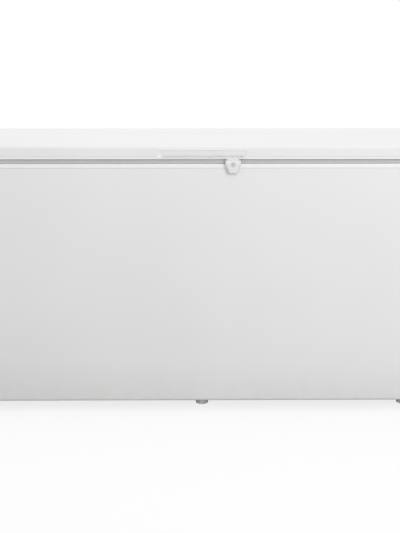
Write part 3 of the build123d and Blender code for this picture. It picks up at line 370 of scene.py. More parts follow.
# %% Greys
seal = Finish("seal_rubber", 0.62)
seal.clouds(35.0, 4.0, grey(0.52), grey(0.55))
seal.bump(seal.noise(1.0, 2.0, where=seal.stretch((30.0, 30.0, 900.0))), 0.0002, 0.4)
seal.rough(seal.noise(70.0, 3.0), 0.55, 0.7)

# The feet's pale tone is painted light: grey nylon made paler so that it keeps its grey in the shade under
# the cabinet.
nylon_painted_light = Finish("foot_plastic", 0.6)
scuff = nylon_painted_light.noise(220.0, 6.0, 0.7)
nylon_painted_light.colour(nylon_painted_light.tint(scuff, (0.35, grey(0.86)), (0.6, grey(0.89)), (0.8, grey(0.92))))
nylon_painted_light.rough(scuff, 0.5, 0.7)
nylon_painted_light.bump(nylon_painted_light.noise(900.0, 3.0), 0.00008, 0.5)

moulded = Finish("grille_plastic", 0.55)
moulded.clouds(18.0, 6.0, (0.50, 0.51, 0.52), (0.57, 0.58, 0.59))
moulded.rough(moulded.noise(90.0, 4.0), 0.48, 0.62)
moulded.bump(moulded.cells(1100.0), 0.00009, 0.5)
print("finishes", len(finishes))

# %% [markdown]
# ### Metals
# The tank is aluminium with a pressed stucco pattern of cells about 9 mm across. Galvanised sheet
# shows spangle, large flat crystals of slightly different brightness. Plated hinge steel has a
# faint yellow stain, copper goes brown in patches, and the lock's barrel is worn nickel.

# %% Metals
stucco = Finish("liner_aluminium", 0.42, metallic=0.8)
stucco.clouds(5.0, 4.0, (0.74, 0.75, 0.76), (0.82, 0.83, 0.84))
stucco.rough(stucco.noise(50.0, 3.0), 0.36, 0.5)
stucco.bump(stucco.cells(110.0, "SMOOTH_F1"), 0.0012, 0.55)
stucco.bump(stucco.noise(420.0, 2.0), 0.00012, 0.4)

spangle = Finish("zinc_sheet", 0.4, metallic=1.0)
crystals = add(spangle.tree, "ShaderNodeSeparateColor", Color=spangle.cells(70.0, output="Color"))
flake = crystals.outputs[0]
spangle.colour(spangle.tint(flake, (0.0, (0.52, 0.53, 0.55)), (1.0, (0.66, 0.67, 0.68))))
spangle.rough(flake, 0.34, 0.5)
spangle.bump(spangle.noise(160.0, 3.0), 0.00012, 0.4)

plated = Finish("zinc_steel", 0.32, metallic=1.0)
stain = plated.noise(28.0, 5.0)
yellowed, bare, bright = (0.58, 0.56, 0.50), (0.67, 0.67, 0.66), (0.70, 0.70, 0.71)
plated.colour(plated.tint(stain, (0.3, yellowed), (0.6, bare), (0.8, bright)))
plated.rough(plated.noise(130.0, 5.0), 0.26, 0.46)
plated.bump(plated.noise(1.0, 3.0, where=plated.stretch((700.0, 90.0, 90.0))), 0.00005, 0.5)

nickel = Finish("lock_chrome", 0.3, metallic=1.0)
nickel.clouds(220.0, 4.0, (0.60, 0.59, 0.58), (0.68, 0.68, 0.67))
nickel.rough(nickel.noise(500.0, 4.0), 0.24, 0.36)
nickel.bump(nickel.noise(1900.0, 2.0), 0.00002, 0.3)

copper = Finish("copper", 0.36, metallic=1.0)
tarnish = copper.noise(34.0, 6.0)
brown, dull_red, fresh = (0.40, 0.17, 0.09), (0.70, 0.36, 0.22), (0.80, 0.46, 0.30)
copper.colour(copper.tint(tarnish, (0.32, brown), (0.55, dull_red), (0.8, fresh)))
copper.rough(tarnish, 0.3, 0.5)
copper.bump(copper.noise(300.0, 3.0), 0.00006, 0.4)
print("finishes", len(finishes))

# %% [markdown]
# ### Dark finishes, foam and lamps
# The compressor is black stove enamel with a slight run in it, its mounts and the cable bush are
# rubber, and the terminal cover is grained plastic. Foam is matt and full of pores. The three
# lamps are tinted lenses: red, amber and green in a row.

# %% Dark finishes, foam and lamps
stove = Finish("black_enamel", 0.34)
stove.clouds(20.0, 5.0, grey(0.018), grey(0.04), 0.75)
stove.rough(stove.noise(60.0, 4.0), 0.28, 0.48)
stove.bump(stove.noise(240.0, 2.0), 0.0001, 0.5)

rubber = Finish("black_rubber", 0.75)
rubber.clouds(90.0, 5.0, grey(0.02), grey(0.05), 0.75)
rubber.rough(rubber.noise(200.0, 3.0), 0.65, 0.85)
rubber.bump(rubber.noise(1300.0, 2.0), 0.00006, 0.5)

casing = Finish("black_plastic", 0.5)
casing.clouds(50.0, 4.0, grey(0.03), grey(0.055), 0.75)
casing.rough(casing.noise(120.0, 4.0), 0.42, 0.58)
casing.bump(casing.cells(1500.0), 0.00006, 0.5)

foam = Finish("foam", 0.95, specular=0.2)
foam.clouds(60.0, 5.0, (0.66, 0.52, 0.28), (0.80, 0.68, 0.42))
foam.bump(foam.cells(800.0), 0.0006, 0.7)
foam.rough(foam.noise(200.0, 3.0), 0.88, 1.0)

lamp_low, lamp_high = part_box("pilot_lamps")
lens = Finish("lamp_lens", 0.2)
row_place = lens.height(lamp_low.y, lamp_high.y, "Y")
red, amber, green = (0.45, 0.03, 0.02), (0.55, 0.28, 0.02), (0.03, 0.30, 0.08)
glass = lens.tint(row_place, (0.0, red), (0.33, red), (0.34, amber), (0.66, amber), (0.67, green))
haze = lens.spread(lens.noise(300.0, 3.0), 0.4, 0.8, 0.0, 0.25)
lens.colour(mix_colours(lens.tree, haze, glass, grey(0.5)))
lens.bump(lens.noise(1.0, 1.0, where=lens.stretch((300.0, 2600.0, 300.0))), 0.0003, 0.5)
lens.rough(lens.noise(700.0, 2.0), 0.14, 0.3)
lens.dress(Coat_Weight=0.5)

slot_of = {entry["node"]: entry["material_slot"] for entry in frame["record"]["subparts"]}
for node_name, node_object in nodes.items():
    node_object.data.materials.clear()
    node_object.data.materials.append(finishes[slot_of[node_name]])
print("finishes", len(finishes), "for", len(slot_of), "nodes")

# %% [markdown]
# ## Building blocks
# Most of a freezer is a section carried round a rounded rectangle: the lid's pan, its liner, the
# seal, the frame of the mouth. A skin over stacked loops of points makes all of them, and it can
# roll its edges and turn inside out into a thin wall. A box with a Bevel modifier would be
# quicker, but it has only one kind of edge.

# %% Loops and skins
SUPPORT = 2.0 * MM
LEAST_CORNER = 0.8 * MM


def rounded_loop(half, front, rear, radius, height, steps=7):
    """Points of a rounded rectangle seen from above, anticlockwise.

    A point beside each corner keeps the long sides flat in the shading.
    """
    straight = min(2.0 * half, rear - front) - 2.0 * radius
    support = min(SUPPORT, radius, 0.4 * straight)
    corners = (
        (half - radius, front + radius, -90.0),
        (half - radius, rear - radius, 0.0),
        (radius - half, rear - radius, 90.0),
        (radius - half, front + radius, 180.0),
    )
    points = []
    for centre_x, centre_y, start in corners:
        arc = []
        for step in range(steps + 1):
            angle = math.radians(start + 90.0 * step / steps)
            offset = Vector((math.cos(angle), math.sin(angle), 0.0)) * radius
            arc.append(Vector((centre_x, centre_y, height)) + offset)
        first = math.radians(start - 90.0)
        last = math.radians(start + 180.0)
        lead = Vector((math.cos(first), math.sin(first), 0.0)) * support
        tail = Vector((math.cos(last), math.sin(last), 0.0)) * support
        points += [arc[0] + lead, *arc, arc[-1] + tail]
    return points


def bend(centre_in, centre_up, radius, start, end, steps=5):
    """Points of an arc in a section: how far in from the outline, and how high."""
    points = []
    for step in range(steps + 1):
        angle = math.radians(start + (end - start) * step / steps)
        points.append((centre_in + radius * math.cos(angle), centre_up + radius * math.sin(angle)))
    return points


def skin(loops, closed=False):
    """A bmesh over loops that all have the same number of points, capped or closed in a ring."""
    bm = bmesh.new()
    rows = [[bm.verts.new(point) for point in loop] for loop in loops]
    pairs = list(zip(rows, rows[1:]))
    if closed:
        pairs.append((rows[-1], rows[0]))
    for lower, upper in pairs:
        for index in range(len(lower)):
            after = (index + 1) % len(lower)
            bm.faces.new((lower[index], lower[after], upper[after], upper[index]))
    if not closed:
        bm.faces.new(rows[0])
        bm.faces.new(rows[-1])
    bmesh.ops.recalc_face_normals(bm, faces=bm.faces)
    return bm


# %% Blocks, bars and turned shapes
def roll_edges(bm, edges, size, steps):
    """Rounds some edges of a bmesh."""
    bmesh.ops.bevel(
        bm, geom=edges, offset=size, segments=steps, profile=0.5, affect="EDGES", clamp_overlap=True)


def block(low, high, edge=0.0):
    """A bmesh box between two corners, with rolled edges."""
    bm = bmesh.new()
    size = Vector(high) - Vector(low)
    middle = (Vector(high) + Vector(low)) / 2
    place = Matrix.Translation(middle) @ Matrix.Diagonal((*size, 1.0))
    bmesh.ops.create_cube(bm, size=1.0, matrix=place)
    if edge > 0:
        roll_edges(bm, bm.edges[:], edge, 2)
    return bm


def round_bar(radius, length, centre, about=None, steps=32):
    """A bmesh of a round bar: along Z, or turned a quarter about another axis."""
    bm = bmesh.new()
    place = Matrix.Translation(centre)
    if about:
        place = place @ Matrix.Rotation(math.pi / 2, 4, about)
    bmesh.ops.create_cone(
        bm, cap_ends=True, segments=steps, radius1=radius, radius2=radius, depth=length, matrix=place)
    return bm


AROUND = {"X": (0, 1, 2), "Y": (1, 0, 2), "Z": (2, 0, 1)}


def turned(profile, axis, centre, steps, ribs=(0.0,)):
    """A bmesh turned about an axis, from points of place along it, radius and maybe rib depth.

    The ribs are a pattern round the shape: 1 pulls a point in by the rib depth.
    """
    along, across, up = AROUND[axis]
    loops = []
    for place, radius, *rib in profile:
        depth = rib[0] if rib else 0.0
        loop = []
        for step in range(steps):
            angle = 2.0 * math.pi * step / steps
            size = radius - depth * ribs[step % len(ribs)]
            point = [0.0, 0.0, 0.0]
            point[along] = place
            point[across] = centre[across] + size * math.cos(angle)
            point[up] = centre[up] + size * math.sin(angle)
            loop.append(Vector(point))
        loops.append(loop)
    return skin(loops)


def merge(*parts):
    """One bmesh from several."""
    whole = bmesh.new()
    for part in parts:
        carrier = bpy.data.meshes.new("carrier")
        part.to_mesh(carrier)
        part.free()
        whole.from_mesh(carrier)
        bpy.data.meshes.remove(carrier)
    return whole


# %% Objects and pieces
MERGE = 0.002 * MM


def centre_of(node):
    """The middle of a node's box."""
    return [(low + high) / 2 for low, high in zip(*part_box(node))]


def plain_object(name, bm):
    """A mesh object at the origin from a bmesh."""
    mesh = bpy.data.meshes.new(name)
    bm.to_mesh(mesh)
    bm.free()
    made = bpy.data.objects.new(name, mesh)
    scene.collection.objects.link(made)
    return made


def evaluated_mesh(made):
    """A plain mesh of an object with its modifiers."""
    bpy.context.view_layer.update()
    depsgraph = bpy.context.evaluated_depsgraph_get()
    return bpy.data.meshes.new_from_object(made.evaluated_get(depsgraph), depsgraph=depsgraph)


def settle(made):
    """Turns an object's modifiers into plain mesh."""
    mesh = evaluated_mesh(made)
    made.modifiers.clear()
    made.data = mesh


def thicken(made, thickness):
    """Gives an open sheet its thickness, behind its faces."""
    wall = made.modifiers.new("wall", "SOLIDIFY")
    wall.thickness = thickness
    wall.offset = -1.0
    settle(made)


def carve(made, **cutters):
    """Cuts bmeshes out of an object, and merges the points that a cut leaves together."""
    tools = [plain_object(name, bm) for name, bm in cutters.items()]
    for tool in tools:
        cut = made.modifiers.new("cut", "BOOLEAN")
        cut.operation = "DIFFERENCE"
        cut.solver = "EXACT"
        cut.object = tool
    settle(made)
    for tool in tools:
        bpy.data.objects.remove(tool)
    bm = bmesh.new()
    bm.from_mesh(made.data)
    bmesh.ops.remove_doubles(bm, verts=bm.verts, dist=MERGE)
    bmesh.ops.dissolve_degenerate(bm, edges=bm.edges, dist=MERGE)
    bm.to_mesh(made.data)
    bm.free()


def piece(made, body, slot, *replaced, sharp=32.0, finish=None):
    """Gives a made object its shading, finish and place in the model."""
    bm = bmesh.new()
    bm.from_mesh(made.data)
    limit = math.radians(sharp)
    for edge in bm.edges:
        edge.smooth = len(edge.link_faces) == 2 and edge.calc_face_angle(0.0) < limit
    for face in bm.faces:
        face.smooth = True
    bm.to_mesh(made.data)
    bm.free()
    even = made.modifiers.new("even_normals", "WEIGHTED_NORMAL")
    even.keep_sharp = True
    settle(made)
    made.data.materials.clear()
    made.data.materials.append(finishes[finish or slot])
    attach(made, body)
    if replaced:
        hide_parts(*replaced)
    print(made.name, "faces", len(made.data.polygons))


# %% [markdown]
# ## The lid's pan
# The pan is drawn from one steel sheet: flat top, a rolled edge all round and a hem at the bottom
# that holds the plastic liner. The section runs down the inside, round the hem and up the
# outside, so the wall is closed and 1 mm thick. The opening for the handle is cut afterwards.

# %% Lid pan
LID_CORNER = 14.0 * MM
LID_ROLL = 8.0 * MM
LID_FLAT = 60.0 * MM
SHEET = 1.0 * MM
HEM = 1.2 * SHEET
HEM_INSIDE = 0.5 * SHEET
FLANGE = 3.0 * MM
BESIDE = 3.0 * MM
PAST = 2.0 * MM
NOTCH_DEPTH = 20.0 * MM
lid_half = lid_high.x
pan_low, pan_top = lid_low.z, lid_high.z
handle_low, handle_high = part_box("lid_handle")
grip_half = handle_high.x - FLANGE
grip_top = handle_high.z - FLANGE


def lid_loop(inset, height, radius=None, steps=7):
    """The lid's outline moved in; its corners shrink with it, unless a radius is given."""
    corner = radius or max(LID_CORNER - inset, LEAST_CORNER)
    return rounded_loop(lid_half - inset, lid_low.y + inset, lid_high.y - inset, corner, height, steps)


def grip_notch(low, high, rear):
    """A bmesh for the handle's opening, between two heights and back to a depth."""
    return block((-grip_half, lid_low.y - PAST, low), (grip_half, rear, high))


roll_centre = pan_top - LID_ROLL
pan_section = [(LID_FLAT, pan_top - SHEET)]
pan_section += bend(LID_ROLL, roll_centre, LID_ROLL - SHEET, 90.0, 180.0)
pan_section += bend(HEM, pan_low + HEM_INSIDE, HEM_INSIDE, 0.0, -90.0, 3)
pan_section += bend(HEM, pan_low + HEM, HEM, -90.0, -180.0, 4)
pan_section += bend(LID_ROLL, roll_centre, LID_ROLL, 180.0, 90.0, 7)
pan_section += [(LID_ROLL + BESIDE, pan_top), (LID_FLAT, pan_top)]
lid_pan = plain_object("lid_pan", skin([lid_loop(inset, height) for inset, height in pan_section]))
carve(lid_pan, notch=grip_notch(pan_low - PAST, grip_top, lid_low.y + NOTCH_DEPTH))
piece(lid_pan, "lid", "white_enamel", "lid_skin")

# %% [markdown]
# ## The lid's inner side
# Under the pan sits a plastic liner. Its edge shows as a thin band below the steel. Inside, it
# steps down into a plug that fills the mouth, with a raised field that stiffens it. It is one
# vacuum-formed sheet, so every edge is round; a section of bends gives just that.

# %% Lid liner
LINER_WALL = 2.5 * MM
LINER_ROLL = 1.2 * MM
PLUG_BACK = 55.5 * MM
PLUG_CORNER = 22.0 * MM
LEAST_PLUG_CORNER = 4.0 * MM
PLUG_ROLL = 4.0 * MM
FLOOR_ROLL = 6.0 * MM
DRAFT = 9.5 * MM
FIELD_MARGIN = 62.0 * MM
FIELD_STEP = ((-6.0, 0.0), (-2.0, 0.3), (0.0, 0.9), (2.0, 1.5), (6.0, 1.8), (40.0, 1.8))
liner_low, liner_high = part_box("lid_liner")
mouth_low, mouth_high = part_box("top_frame")
seal_low, seal_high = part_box("lid_gasket")
liner_under = seal_high.z - 4.0 * MM
plug_in = lid_half - (mouth_high.x - PLUG_BACK)
plug_low = liner_low.z
field = plug_in + FIELD_MARGIN
edge_in = lid_half - liner_high.x
outer = [(edge_in, pan_low - 0.2 * MM)]
outer += bend(edge_in + LINER_ROLL, liner_under + LINER_ROLL, LINER_ROLL, 180.0, 270.0, 4)
outer += [(plug_in - 6.0 * MM, liner_under)]
outer += bend(plug_in - PLUG_ROLL, liner_under - PLUG_ROLL, PLUG_ROLL, 90.0, 10.0, 4)
outer += bend(plug_in + DRAFT, plug_low + FLOOR_ROLL, FLOOR_ROLL, 190.0, 270.0, 5)
outer += [(field + beyond * MM, plug_low + rise * MM) for beyond, rise in FIELD_STEP]


def liner_loop(inset, height):
    """The liner's outline: the lid's corners at its edge, larger ones round the plug."""
    if inset < plug_in - 5.0 * MM:
        return lid_loop(inset, height)
    return lid_loop(inset, height, max(PLUG_CORNER - (inset - plug_in) * 0.3, LEAST_PLUG_CORNER))


inner = []
for inset, height in outer:
    sideways = LINER_WALL if height > plug_low + 3.0 * MM else 0.0
    inner.append((inset + sideways, height + LINER_WALL))
inner[0] = (outer[0][0] + LINER_WALL, outer[0][1])
liner_section = list(reversed(inner)) + outer
lid_inner = plain_object("lid_inner", skin([liner_loop(inset, height) for inset, height in liner_section]))
carve(lid_inner, notch=grip_notch(handle_low.z, pan_low + PAST, handle_high.y))
piece(lid_inner, "lid", "white_plastic", "lid_liner", sharp=40.0)

# %% [markdown]
# ## The seal
# The seal is an extruded vinyl strip, welded at the corners: a flat base, a soft bellows of two
# folds and a pocket for the magnet that lands on the frame. Its corners are mitred, so the plan
# has almost no radius. One closed section carried round the lid makes it.

# %% Seal
SEAL_WIDE = 28.0 * MM
SEAL_CORNER = 0.6 * MM
SEAL_BASE = 1.2 * MM
SEAL_LEG = 4.0 * MM
POCKET_ROLL = 2.0 * MM
FOLDS = 2
FOLD_IN = 0.6 * MM
FOLD_DEPTH = 0.5 * MM
FOLD_POINTS = 14
near = lid_half - seal_high.x
far = near + SEAL_WIDE
fold_high = liner_under - 2.2 * MM
fold_low = seal_low.z + 6.2 * MM
seal_section = [(near + 1.0 * MM, liner_under), (near, liner_under - SEAL_BASE)]
for step in range(FOLD_POINTS + 1):
    share = step / FOLD_POINTS
    sway = FOLD_DEPTH * (1.0 - math.cos(share * 2.0 * FOLDS * math.pi))
    seal_section.append((near + FOLD_IN + sway, fold_high + (fold_low - fold_high) * share))
seal_section += [(near, fold_low - 0.8 * MM)]
pocket_z = seal_low.z + POCKET_ROLL
seal_section += bend(near + POCKET_ROLL, pocket_z, POCKET_ROLL, 180.0, 270.0, 4)
seal_section += bend(far - POCKET_ROLL, pocket_z, POCKET_ROLL, 270.0, 360.0, 4)
seal_section += [(far, fold_low - 0.8 * MM), (far - SEAL_LEG, fold_low), (far - SEAL_LEG, fold_high)]
seal_section += [(far, liner_under - SEAL_BASE), (far - 1.0 * MM, liner_under)]
seal_loops = [lid_loop(inset, height, SEAL_CORNER, 2) for inset, height in seal_section]
lid_seal = plain_object("lid_seal", skin(seal_loops, closed=True))
piece(lid_seal, "lid", "seal_rubber", "lid_gasket", sharp=50.0)

# %% [markdown]
# ## The handle
# The handle is a plastic scoop let into the lid's front. Its rim is a thin flange with a round
# edge. Inside, the back leans in towards the bottom, where the fingertips reach under it, and both
# ends slope, so it shows as a soft shade and not as a hole. Loops in upright planes are stacked
# from the back of the shell, round the flange and down into the scoop.


# %% Handle's flange
def upright_loop(half, low, high, radius, depth):
    """A rounded rectangle in an upright plane, seen from the front."""
    middle = (low + high) / 2
    loop = rounded_loop(half, low - middle, high - middle, radius, 0.0, 6)
    return [Vector((point.x, depth, point.y + middle)) for point in loop]


LIP = 0.8 * MM
RIM_ROLL = 2.0 * MM
RIM_CORNER = 4.0 * MM
FLANGE_CORNER = 3.0 * MM
SOCKET_CORNER = 7.0 * MM
SOCKET_CHAMFER = 3.0 * MM
SOCKET_GAP = 0.3 * MM
face_y = handle_low.y
skin_y = lid_low.y
back_y = handle_high.y


def socket_loop(inset, depth):
    """A loop of the scoop's hidden outside, in the lid's foam."""
    shy = SOCKET_GAP + inset
    return upright_loop(grip_half - shy, handle_low.z + shy, grip_top - shy, SOCKET_CORNER, depth)


def flange_loop(inset, depth):
    """A loop of the flange that lies on the lid's front."""
    return upright_loop(handle_high.x - inset, handle_low.z, handle_high.z - inset, FLANGE_CORNER, depth)


grip_loops = [
    socket_loop(SOCKET_CHAMFER, back_y), socket_loop(0.0, back_y - SOCKET_CHAMFER),
    socket_loop(0.0, skin_y + 0.1 * MM), flange_loop(0.0, skin_y + 0.05 * MM), flange_loop(0.2 * MM, face_y),
]
for turn in (0.0, 30.0, 60.0, 90.0):
    share = math.sin(math.radians(turn))
    depth = face_y + RIM_ROLL * (1.0 - math.cos(math.radians(turn)))
    rolled = RIM_ROLL * share
    grip_loops.append(
        upright_loop(grip_half - rolled, handle_low.z + LIP * share, grip_top - rolled, RIM_CORNER, depth))
print("handle", [round(value / MM, 1) for value in (handle_low.z, handle_high.z, face_y, back_y)], "mm")

# %% Handle's scoop
SLOPE = (
    (0.8, 0.15), (1.6, 0.30), (2.4, 0.45), (3.3, 0.58), (4.4, 0.69), (5.8, 0.77), (7.4, 0.83),
    (9.0, 0.87), (10.4, 0.91), (11.0, 0.95),
)
END_SLOPE = 1.9
END_DEPTH = 5.8
slope_low = handle_low.z + LIP
slope_high = grip_top - RIM_ROLL
for depth, share in SLOPE:
    half = grip_half - RIM_ROLL - END_SLOPE * min(depth, END_DEPTH) * MM
    high = slope_high - (slope_high - slope_low) * share
    corner = min(RIM_CORNER, 0.45 * (high - slope_low))
    grip_loops.append(upright_loop(half, slope_low, high, corner, face_y + RIM_ROLL + depth * MM))
grip_scoop = plain_object("grip_scoop", skin(grip_loops))
# The scoop's darker plastic is painted shade in the recess.
piece(grip_scoop, "lid", "white_plastic", "lid_handle", sharp=48.0, finish="grip_plastic")

# %% [markdown]
# ## The lock
# A shield hangs from the lid in front of the frame and carries the lock: wide at the top, narrow
# at the tip, with a soft front edge. It is a shell, open at the back for the cam. The barrel has
# a rolled rim and a key slot, cut with a Boolean because the slot has a round middle.

# %% Lock shield
SHIELD_WALL = 2.5 * MM
SHIELD_CORNERS = (2.5, 7.0, 7.0, 7.0, 7.0, 2.5)
CORNER_STEPS = 6
TIP_HALF = 14.0 * MM
NECK = 4.0 * MM
NECK_HALF = 19.0 * MM
PILLOW = 8.0 * MM
PILLOW_DEPTH = 1.7
BORE_GAP = 0.15 * MM
shield_low, shield_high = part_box("lock_shield")
barrel_low, barrel_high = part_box("lock_barrel")
lock_centre = centre_of("lock_barrel")
lock_x, _, barrel_z = lock_centre
barrel_radius = (barrel_high.x - barrel_low.x) / 2
shield_top = shield_high.z - NECK
shield_face = shield_low.y
shield_back = mouth_low.y - 1.0 * MM


def shield_loop(inset, depth):
    """The shield's outline with round corners, moved in by an inset."""
    half = (shield_high.x - shield_low.x) / 2 - inset
    tip = TIP_HALF - inset
    top, bottom = shield_top - inset, shield_low.z + inset
    corners = [(-half, top), (-half, barrel_z), (-tip, bottom), (tip, bottom), (half, barrel_z), (half, top)]
    points = []
    for index, corner in enumerate(corners):
        here = Vector(corner)
        before = (Vector(corners[index - 1]) - here).normalized()
        after = (Vector(corners[(index + 1) % len(corners)]) - here).normalized()
        radius = max(SHIELD_CORNERS[index] * MM - inset, LEAST_CORNER)
        reach = radius / math.tan(before.angle(after) / 2)
        start, end = here + before * reach, here + after * reach
        for step in range(CORNER_STEPS + 1):
            share = step / CORNER_STEPS
            point = start.lerp(here, share).lerp(here.lerp(end, share), share)
            points.append(Vector((lock_x + point.x, depth, point.y)))
    return points


inside_y = shield_face + SHIELD_WALL
shield_loops = [
    shield_loop(SHIELD_WALL + 1.0 * MM, inside_y), shield_loop(SHIELD_WALL, inside_y + 1.0 * MM),
    shield_loop(SHIELD_WALL, shield_back), shield_loop(0.3 * MM, shield_back),
    shield_loop(0.0, shield_back - 0.3 * MM),
]
for inset, height in bend(PILLOW, PILLOW, PILLOW, 180.0, 270.0, 8):
    shield_loops.append(shield_loop(inset, shield_face + PILLOW_DEPTH * height))
lock_housing = plain_object("lock_housing", skin(shield_loops))
bore_centre = (lock_x, shield_face + 1.5 * MM, barrel_z)
carve(lock_housing, bore=round_bar(barrel_radius + BORE_GAP, 13.0 * MM, bore_centre, "X"))
carved = bmesh.new()
carved.from_mesh(lock_housing.data)
neck_low = (lock_x - NECK_HALF, lid_low.y + 0.6 * MM, shield_top - 2.5 * MM)
neck_high = (lock_x + NECK_HALF, lid_low.y + 7.4 * MM, shield_high.z)
whole_shield = merge(carved, block(neck_low, neck_high, 0.8 * MM))
whole_shield.to_mesh(lock_housing.data)
whole_shield.free()
print("shield", [round(value / MM, 1) for value in (shield_face, shield_back, mouth_low.y)], "mm")
# The shield's darker plastic is painted shade.
piece(lock_housing, "lid", "white_plastic", "lock_shield", sharp=40.0, finish="lock_plastic")

# %% Lock barrel
SLOT_HALF = 0.8 * MM
SLOT_REACH = 3.6 * MM
SLOT_FRONT = 2.0 * MM
SLOT_DEPTH = 6.0 * MM
PIN_RADIUS = 1.7 * MM
DISH = 0.5 * MM
rim = barrel_radius
key_face = barrel_low.y
key_profile = [
    (barrel_high.y, rim * 0.9), (key_face + 2.0 * MM, rim * 0.99), (key_face + 0.5 * MM, rim),
    (key_face + 0.15 * MM, rim - 0.15 * MM), (key_face, rim - 0.5 * MM), (key_face, rim - 1.3 * MM),
    (key_face + DISH, rim - 1.7 * MM), (key_face + DISH, 3.0 * MM), (key_face + DISH, 1.0 * MM),
]
key_barrel = plain_object("key_barrel", turned(key_profile, "Y", lock_centre, 40))
slot_low = (lock_x - SLOT_HALF, key_face - SLOT_FRONT, barrel_z - SLOT_REACH)
slot_high = (lock_x + SLOT_HALF, key_face + SLOT_DEPTH, barrel_z + SLOT_REACH)
pin_centre = (lock_x, key_face + (SLOT_DEPTH - SLOT_FRONT) / 2, barrel_z)
pin_hole = round_bar(PIN_RADIUS, SLOT_FRONT + SLOT_DEPTH, pin_centre, "X", 24)
carve(key_barrel, slot_cut=block(slot_low, slot_high), pin_cut=pin_hole)
piece(key_barrel, "lock", "lock_chrome", "lock_barrel")

# %% [markdown]
# ## The cabinet's shell
# Front and sides are one folded sheet with round corners, turned in along the bottom. It is a
# grid of points that follows the open plan and rolls under at the base; Solidify gives the steel
# its thickness inwards. Holes for the grille and the drain are cut after that.

# %% Cabinet shell
SHELL_CORNER = 12.0 * MM
BASE_ROLL = 8.0 * MM
BASE_TURN = 23.0 * MM
shell_low, shell_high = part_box("outer_wrapper")


def open_plan(inset, height):
    """Left side, front and right side of the cabinet, from back to back."""
    half = shell_high.x - inset
    front = shell_low.y + inset
    radius = max(SHELL_CORNER - inset, LEAST_CORNER)
    plan = [(-half, shell_high.y), (-half, front + radius + BESIDE)]
    for centre, start in ((radius - half, 180.0), (half - radius, 270.0)):
        for step in range(9):
            angle = math.radians(start + 90.0 * step / 8)
            plan.append((centre + radius * math.cos(angle), front + radius + radius * math.sin(angle)))
        if start == 180.0:
            plan += [(centre + BESIDE, front), (-centre - BESIDE, front)]
    plan += [(half, front + radius + BESIDE), (half, shell_high.y)]
    return [Vector((x, y, height)) for x, y in plan]


shell_section = [(0.0, shell_high.z), (0.0, shell_low.z + BASE_ROLL + BESIDE)]
shell_section += bend(BASE_ROLL, shell_low.z + BASE_ROLL, BASE_ROLL, 180.0, 270.0, 7)
shell_section += [(BASE_TURN, shell_low.z)]
sheet_bm = bmesh.new()
sheet_rows = []
for inset, height in shell_section:
    sheet_rows.append([sheet_bm.verts.new(point) for point in open_plan(inset, height)])
for upper, lower in zip(sheet_rows, sheet_rows[1:]):
    for index in range(len(upper) - 1):
        sheet_bm.faces.new((upper[index], lower[index], lower[index + 1], upper[index + 1]))
cabinet_shell = plain_object("cabinet_shell", sheet_bm)
thicken(cabinet_shell, SHEET)
print("sheet", len(sheet_rows), "rows")

# %% Holes in the shell
GRILLE_RIM = 12.0 * MM
DRAIN_HOLE = 11.3 * MM
CUT_DEPTH = 20.0 * MM
grille_low, grille_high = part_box("vent_grille")
_, cap_y, cap_z = centre_of("drain_cap")
window = block(
    (shell_high.x - CUT_DEPTH, grille_low.y + GRILLE_RIM, grille_low.z + GRILLE_RIM),
    (shell_high.x + CUT_DEPTH, grille_high.y - GRILLE_RIM, grille_high.z - GRILLE_RIM))
spout = round_bar(DRAIN_HOLE, 2.0 * CUT_DEPTH, (shell_low.x, cap_y, cap_z), "Y")
carve(cabinet_shell, window=window, spout_hole=spout)
piece(cabinet_shell, "cabinet", "white_enamel", "outer_wrapper")

# %% [markdown]
# ## The frame of the mouth
# A moulded frame closes the top of the walls: a narrow face that shows below the seal, the land
# that the seal rests on, a ledge lower down that carries the baskets, and a lip over the tank's
# edge. It is again one closed section, with its corners rounder inside than outside.

# %% Mouth frame
LAND_IN = 45.5 * MM
LIP_IN = 74.0 * MM
LEDGE_DOWN = 18.5 * MM
FRAME_WALL = 3.0 * MM
FACE_ROLL = 3.0 * MM
LAND_ROLL = 2.5 * MM
FACE_END = 20.0 * MM
LAND_END = 60.0 * MM
FACE_CORNER = 12.5 * MM
LEAST_FACE_CORNER = 4.0 * MM
LAND_CORNER = 6.0 * MM
LIP_CORNER = 13.0 * MM
face_low = shell_high.z
frame_top = mouth_high.z
ledge = frame_top - LEDGE_DOWN
lip_low = mouth_low.z


def mouth_loop(inset, height):
    """The frame's outline moved in: one corner for its face, its land and its lip."""
    if inset < FACE_END:
        radius = max(FACE_CORNER - inset, LEAST_FACE_CORNER)
    elif inset < LAND_END:
        radius = LAND_CORNER
    else:
        radius = LIP_CORNER
    return rounded_loop(mouth_high.x - inset, mouth_low.y + inset, mouth_high.y - inset, radius, height)


mouth_section = [(1.6 * MM, face_low + 0.05 * MM), (0.9 * MM, face_low + 0.4 * MM)]
mouth_section += bend(0.8 * MM, face_low + 1.4 * MM, 0.8 * MM, 215.0, 180.0, 2)
mouth_section += bend(FACE_ROLL, frame_top - FACE_ROLL, FACE_ROLL, 180.0, 90.0, 6)
mouth_section += bend(LAND_IN - LAND_ROLL, frame_top - LAND_ROLL, LAND_ROLL, 90.0, 0.0, 5)
mouth_section += bend(LAND_IN + LAND_ROLL, ledge + LAND_ROLL, LAND_ROLL, 180.0, 270.0, 4)
mouth_section += bend(LIP_IN - FACE_ROLL, ledge - FACE_ROLL, FACE_ROLL, 90.0, 0.0, 5)
mouth_section += [
    (LIP_IN, lip_low + 0.8 * MM), (LIP_IN - 0.8 * MM, lip_low), (LIP_IN - 2.4 * MM, lip_low),
    (LIP_IN - FRAME_WALL, ledge - FRAME_WALL), (LAND_IN - FRAME_WALL, ledge - FRAME_WALL),
    (LAND_IN - FRAME_WALL, frame_top - FRAME_WALL), (4.0 * MM, frame_top - FRAME_WALL),
    (3.5 * MM, face_low + 0.1 * MM),
]
